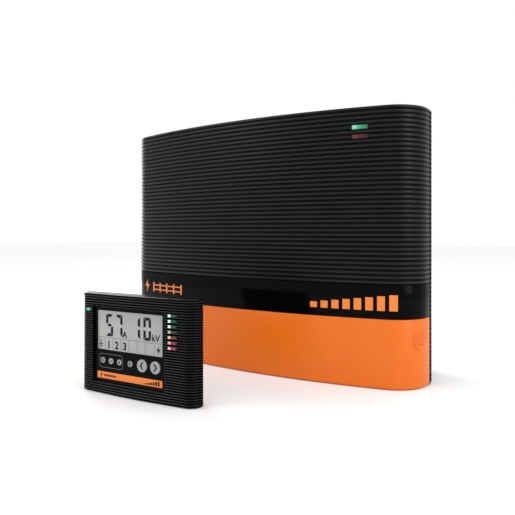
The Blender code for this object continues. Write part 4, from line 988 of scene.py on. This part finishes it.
def buildFasciaPrint():
    face = unitSizes["fasciaFront"]
    panel = thicken(drawShapes("orange_strip", [rectangle(
        (strip["left"] + strip["right"]) / 2, (strip["bottom"] + strip["top"]) / 2,
        strip["right"] - strip["left"], strip["top"] - strip["bottom"])]), strip["ink"])
    onUnit(panel, face - strip["ink"] / 2, finish="inkOrange")
    middle = (strip["bottom"] + strip["top"]) / 2
    marks = boltShape(-42.6 * mm, middle, 5.6 * mm)
    marks += [rectangle(-38.2 * mm + i * 2.7 * mm, middle, 1.9 * mm, 2.1 * mm) for i in range(6)]
    for i in range(7):
        height = 0.9 * mm + 0.6 * mm * i
        marks.append(rectangle(12.4 * mm + i * 2.8 * mm, middle - 1.8 * mm + 0.3 * mm * i, 2.0 * mm, height))
    small = thicken(drawShapes("strip_marks", marks), 0.04 * mm)
    onUnit(small, face - strip["ink"] - 0.02 * mm, finish="inkDark")

    f = frameLine
    corners = ((f["right"], f["top"], 0), (f["left"], f["top"], 90), (f["left"], f["bottom"], 180),
               (f["right"], f["bottom"], 270))
    shapes = []
    for x, z, start in corners:
        inX = x - f["corner"] if x > (f["left"] + f["right"]) / 2 else x + f["corner"]
        inZ = z - f["corner"] if z > (f["bottom"] + f["top"]) / 2 else z + f["corner"]
        shapes += ringShapes(inX, inZ, f["corner"], f["line"], 6, start, start + 90)
    long = f["right"] - f["left"] - 2 * f["corner"]
    tall = f["top"] - f["bottom"] - 2 * f["corner"]
    midX, midZ = (f["left"] + f["right"]) / 2, (f["bottom"] + f["top"]) / 2
    outX = (f["right"] - f["left"]) / 2 - f["line"] / 2
    outZ = (f["top"] - f["bottom"]) / 2 - f["line"] / 2
    for side in (-1, 1):
        shapes.append(rectangle(midX, midZ + side * outZ, long, f["line"]))
        shapes.append(rectangle(midX + side * outX, midZ, f["line"], tall))
    onUnit(thicken(drawShapes("key_group_line", shapes), 0.05 * mm), face - 0.025 * mm, finish="inkGrey")


buildFasciaPrint()
print("fascia printing made")


# keys

keys = {
    "row": 32.2 * mm, "proud": 0.8 * mm, "ink": 0.05 * mm,
    "standby": (-40.4 * mm, 2.8 * mm), "minus": (-29.7 * mm, 2.8 * mm), "plus": (-19.0 * mm, 2.8 * mm),
    "settings": (-5.4 * mm, 2.8 * mm), "previous": (9.4 * mm, 5.9 * mm), "next": (25.4 * mm, 5.9 * mm),
}
signs = {
    "standby": ringShapes(0, 0, 0.64, 0.24, 20, 125, 415) + [rectangle(0, 0.45, 0.24, 0.66)],
    "minus": [rectangle(0, 0, 1.15, 0.32)],
    "plus": [rectangle(0, 0, 1.15, 0.32), rectangle(0, 0.37, 0.32, 0.41), rectangle(0, -0.37, 0.32, 0.41)],
    "settings": ringShapes(0, 0, 0.62, 0.22, 20) + [lineBetween((-0.34, 0.34), (0.34, -0.34), 0.24)],
    "previous": [[(-0.42, 0), (-0.10, 0), (0.36, 0.60), (0.06, 0.60)],
                 [(-0.10, 0), (-0.42, 0), (0.06, -0.60), (0.36, -0.60)]],
    "next": [[(0.42, 0), (0.10, 0), (-0.36, 0.60), (-0.06, 0.60)],
             [(0.10, 0), (0.42, 0), (-0.06, -0.60), (-0.36, -0.60)]],
}


def buildKey(name):
    x, radius = keys[name]
    front = unitSizes["fasciaFront"] - keys["proud"]
    cap = startRod(name + "_key_cap", radius, (x, front, keys["row"]), (x, front + 2 * mm, keys["row"]), 48)
    bpy.ops.object.mode_set(mode="EDIT")
    pick("FACE", lambda f: f.normal.y < -0.9)
    bpy.ops.mesh.inset(thickness=radius * 0.16, depth=0)
    bpy.ops.mesh.inset(thickness=radius * 0.5, depth=-radius * 0.03)
    bpy.ops.object.mode_set(mode="OBJECT")
    roundEdges(cap, 0.3 * mm, 3, 50)
    movePiece(cap, unitPlace)
    settle(cap, name + "_key", finishes["key"], (name + "_key",))
    sign = thicken(drawShapes(name + "_key_sign", scaled(signs[name], x, keys["row"], radius)), keys["ink"])
    onUnit(sign, front + radius * 0.012, body=name + "_key", finish="inkDark")


for name in signs:
    buildKey(name)
print("keys made")


# controller lamps

def buildLamps():
    width, height = lamps["size"]
    along = turn @ Vector((1, 0, 0))
    refineNode("controller_lamp_bar", "lamp_guide", "controller", finishes["guide"], edge=0)
    radius = (unit["halfWidth"] ** 2 + unit["bow"] ** 2) / (2 * unit["bow"])
    lean = Matrix.Rotation(math.asin(lamps["x"] / radius), 4, "Z")   # flush with the bowed face
    for number, (colour, painted_highlight, middle, deep) in enumerate(lamps["looks"], 1):
        z = lamps["top"] - lamps["pitch"] * (number - 1)
        face = bowY(unit, lamps["x"]) - lamps["proud"]
        lamp = startBox(f"lamp_{number}_{colour}", (-width / 2, 0, -height / 2),
                        (width / 2, lamps["depth"], height / 2))
        roundEdges(lamp, 0.34 * mm, 3, 50)
        movePiece(lamp, unitPlace @ Matrix.Translation((lamps["x"], face, z)) @ lean)
        centre = unitPlace @ Vector((lamps["x"], face, z))
        # the pale stops from 0.07 to 0.30 are a painted highlight, and they glow with the rest of the lamp
        finish = lampFinish(f"tinted polycarbonate, {colour} {number}",
                            ((0.0, deep), (0.07, painted_highlight), (0.30, painted_highlight), (0.42, deep), (0.60, middle),
                             (0.88, middle), (1.0, deep)), tuple(centre), tuple(along), width, 0.12)
        settle(lamp, "controller", finish)


buildLamps()


powerLens = {
    "x": -58.3 * mm, "z": 81.2 * mm, "size": (8.0 * mm, 2.6 * mm), "back": 4 * mm,
    "stops": ((0.0, "#0B4430"), (0.25, "#2A8A66"), (0.5, "#7CD8B2"), (0.75, "#2A8A66"), (1.0, "#0B4430")),
}


def buildPowerLens():
    x, z = powerLens["x"], powerLens["z"]
    width, height = powerLens["size"]
    face = bowY(unit, x)
    lens = startBox("power_lens", (x - width / 2, face, z - height / 2),
                    (x + width / 2, powerLens["back"], z + height / 2))
    roundEdges(lens, 0.5 * mm, 3, 50)
    movePiece(lens, unitPlace)
    centre = unitPlace @ Vector((x, face, z))
    finish = lampFinish("tinted polycarbonate, power green", powerLens["stops"], tuple(centre),
                        tuple(turn @ Vector((1, 0, 0))), width, 0.06)
    settle(lens, "controller", finish, ("controller_power_lens",))


buildPowerLens()
print("lamps made")


# pieces inside keep their CAD shape

inside = {
    "board": ("main_board", "lamp_board", "controller_board"),
    "core": ("transformer_core",),
    "copper": ("transformer_winding", "choke_coil"),
    "sleeve": tuple(f"storage_capacitor_{i}" for i in range(1, 5)),
    "aluminium": ("heat_sink",),
    "socket": ("thyristor", "power_module", "fuse_holder"),
    "glass": ("fuse",),
    "rubber": ("case_seal", "keypad_mat"),
}
for finishName, nodes in inside.items():
    for node in nodes:
        mesh = frame["nodes"][node].data
        mesh.materials.clear()
        mesh.materials.append(finishes[finishName])
print("inside pieces finished")


# floor, lights and camera

studio = {
    "floor": ("#F6F6F6", "#FAFAFA"),
    "sky": "#FFFFFF", "skyStrength": 1.0,
    # name, place, what it points at, size and power
    "softboxes": (
        ("key_softbox", (1.62, -0.45, 0.9), (0.1, -0.05, 0.15), (0.7, 1.5), 10),
        ("fill_softbox", (-1.2, -1.6, 1.2), (0, -0.1, 0.15), (1.0, 1.0), 9),
        ("rim_softbox", (-1.1, 0.3, 0.6), (-0.15, 0, 0.15), (0.3, 1.0), 5),
        ("top_softbox", (0.2, 0.1, 1.8), (0, -0.05, 0), (1.2, 1.2), 3),
    ),
}


def buildFloor():
    clearPicks()
    bpy.ops.mesh.primitive_plane_add(size=12, location=(0, 0, 0))
    floor = bpy.context.object
    floor.name = "floor"
    floor.data.materials.append(mouldedFinish("paper backdrop", studio["floor"], (0.9, 1.0), 3, 0.0, 300,
                                              Specular_IOR_Level=0.1))


def addSoftbox(name, place, target, size, power):
    clearPicks()
    place, target = Vector(place), Vector(target)
    bpy.ops.object.light_add(type="AREA", location=place)
    light = bpy.context.object
    light.name = name
    light.rotation_euler = (target - place).to_track_quat("-Z", "Y").to_euler()
    light.data.shape = "RECTANGLE"
    light.data.size, light.data.size_y = size
    light.data.energy = power


buildFloor()
for softbox in studio["softboxes"]:
    addSoftbox(*softbox)

world = bpy.data.worlds.new("studio")
bpy.context.scene.world = world
world.use_nodes = True
sky = world.node_tree.nodes["Background"]
sky.inputs["Color"].default_value = fromHex(studio["sky"])
sky.inputs["Strength"].default_value = studio["skyStrength"]

view = {"place": (0.3782, -0.6074, 0.1583), "pan": 34.44, "lens": 39.146, "shift": -0.0504}
clearPicks()
bpy.ops.object.camera_add(location=view["place"], rotation=(math.pi / 2, 0, math.radians(view["pan"])))
camera = bpy.context.object
camera.data.sensor_width = 36
camera.data.lens = view["lens"]
camera.data.shift_y = view["shift"]
camera.data.clip_start = 0.01
bpy.context.scene.camera = camera
bpy.context.scene.view_settings.view_transform = "Standard"
print("studio ready")
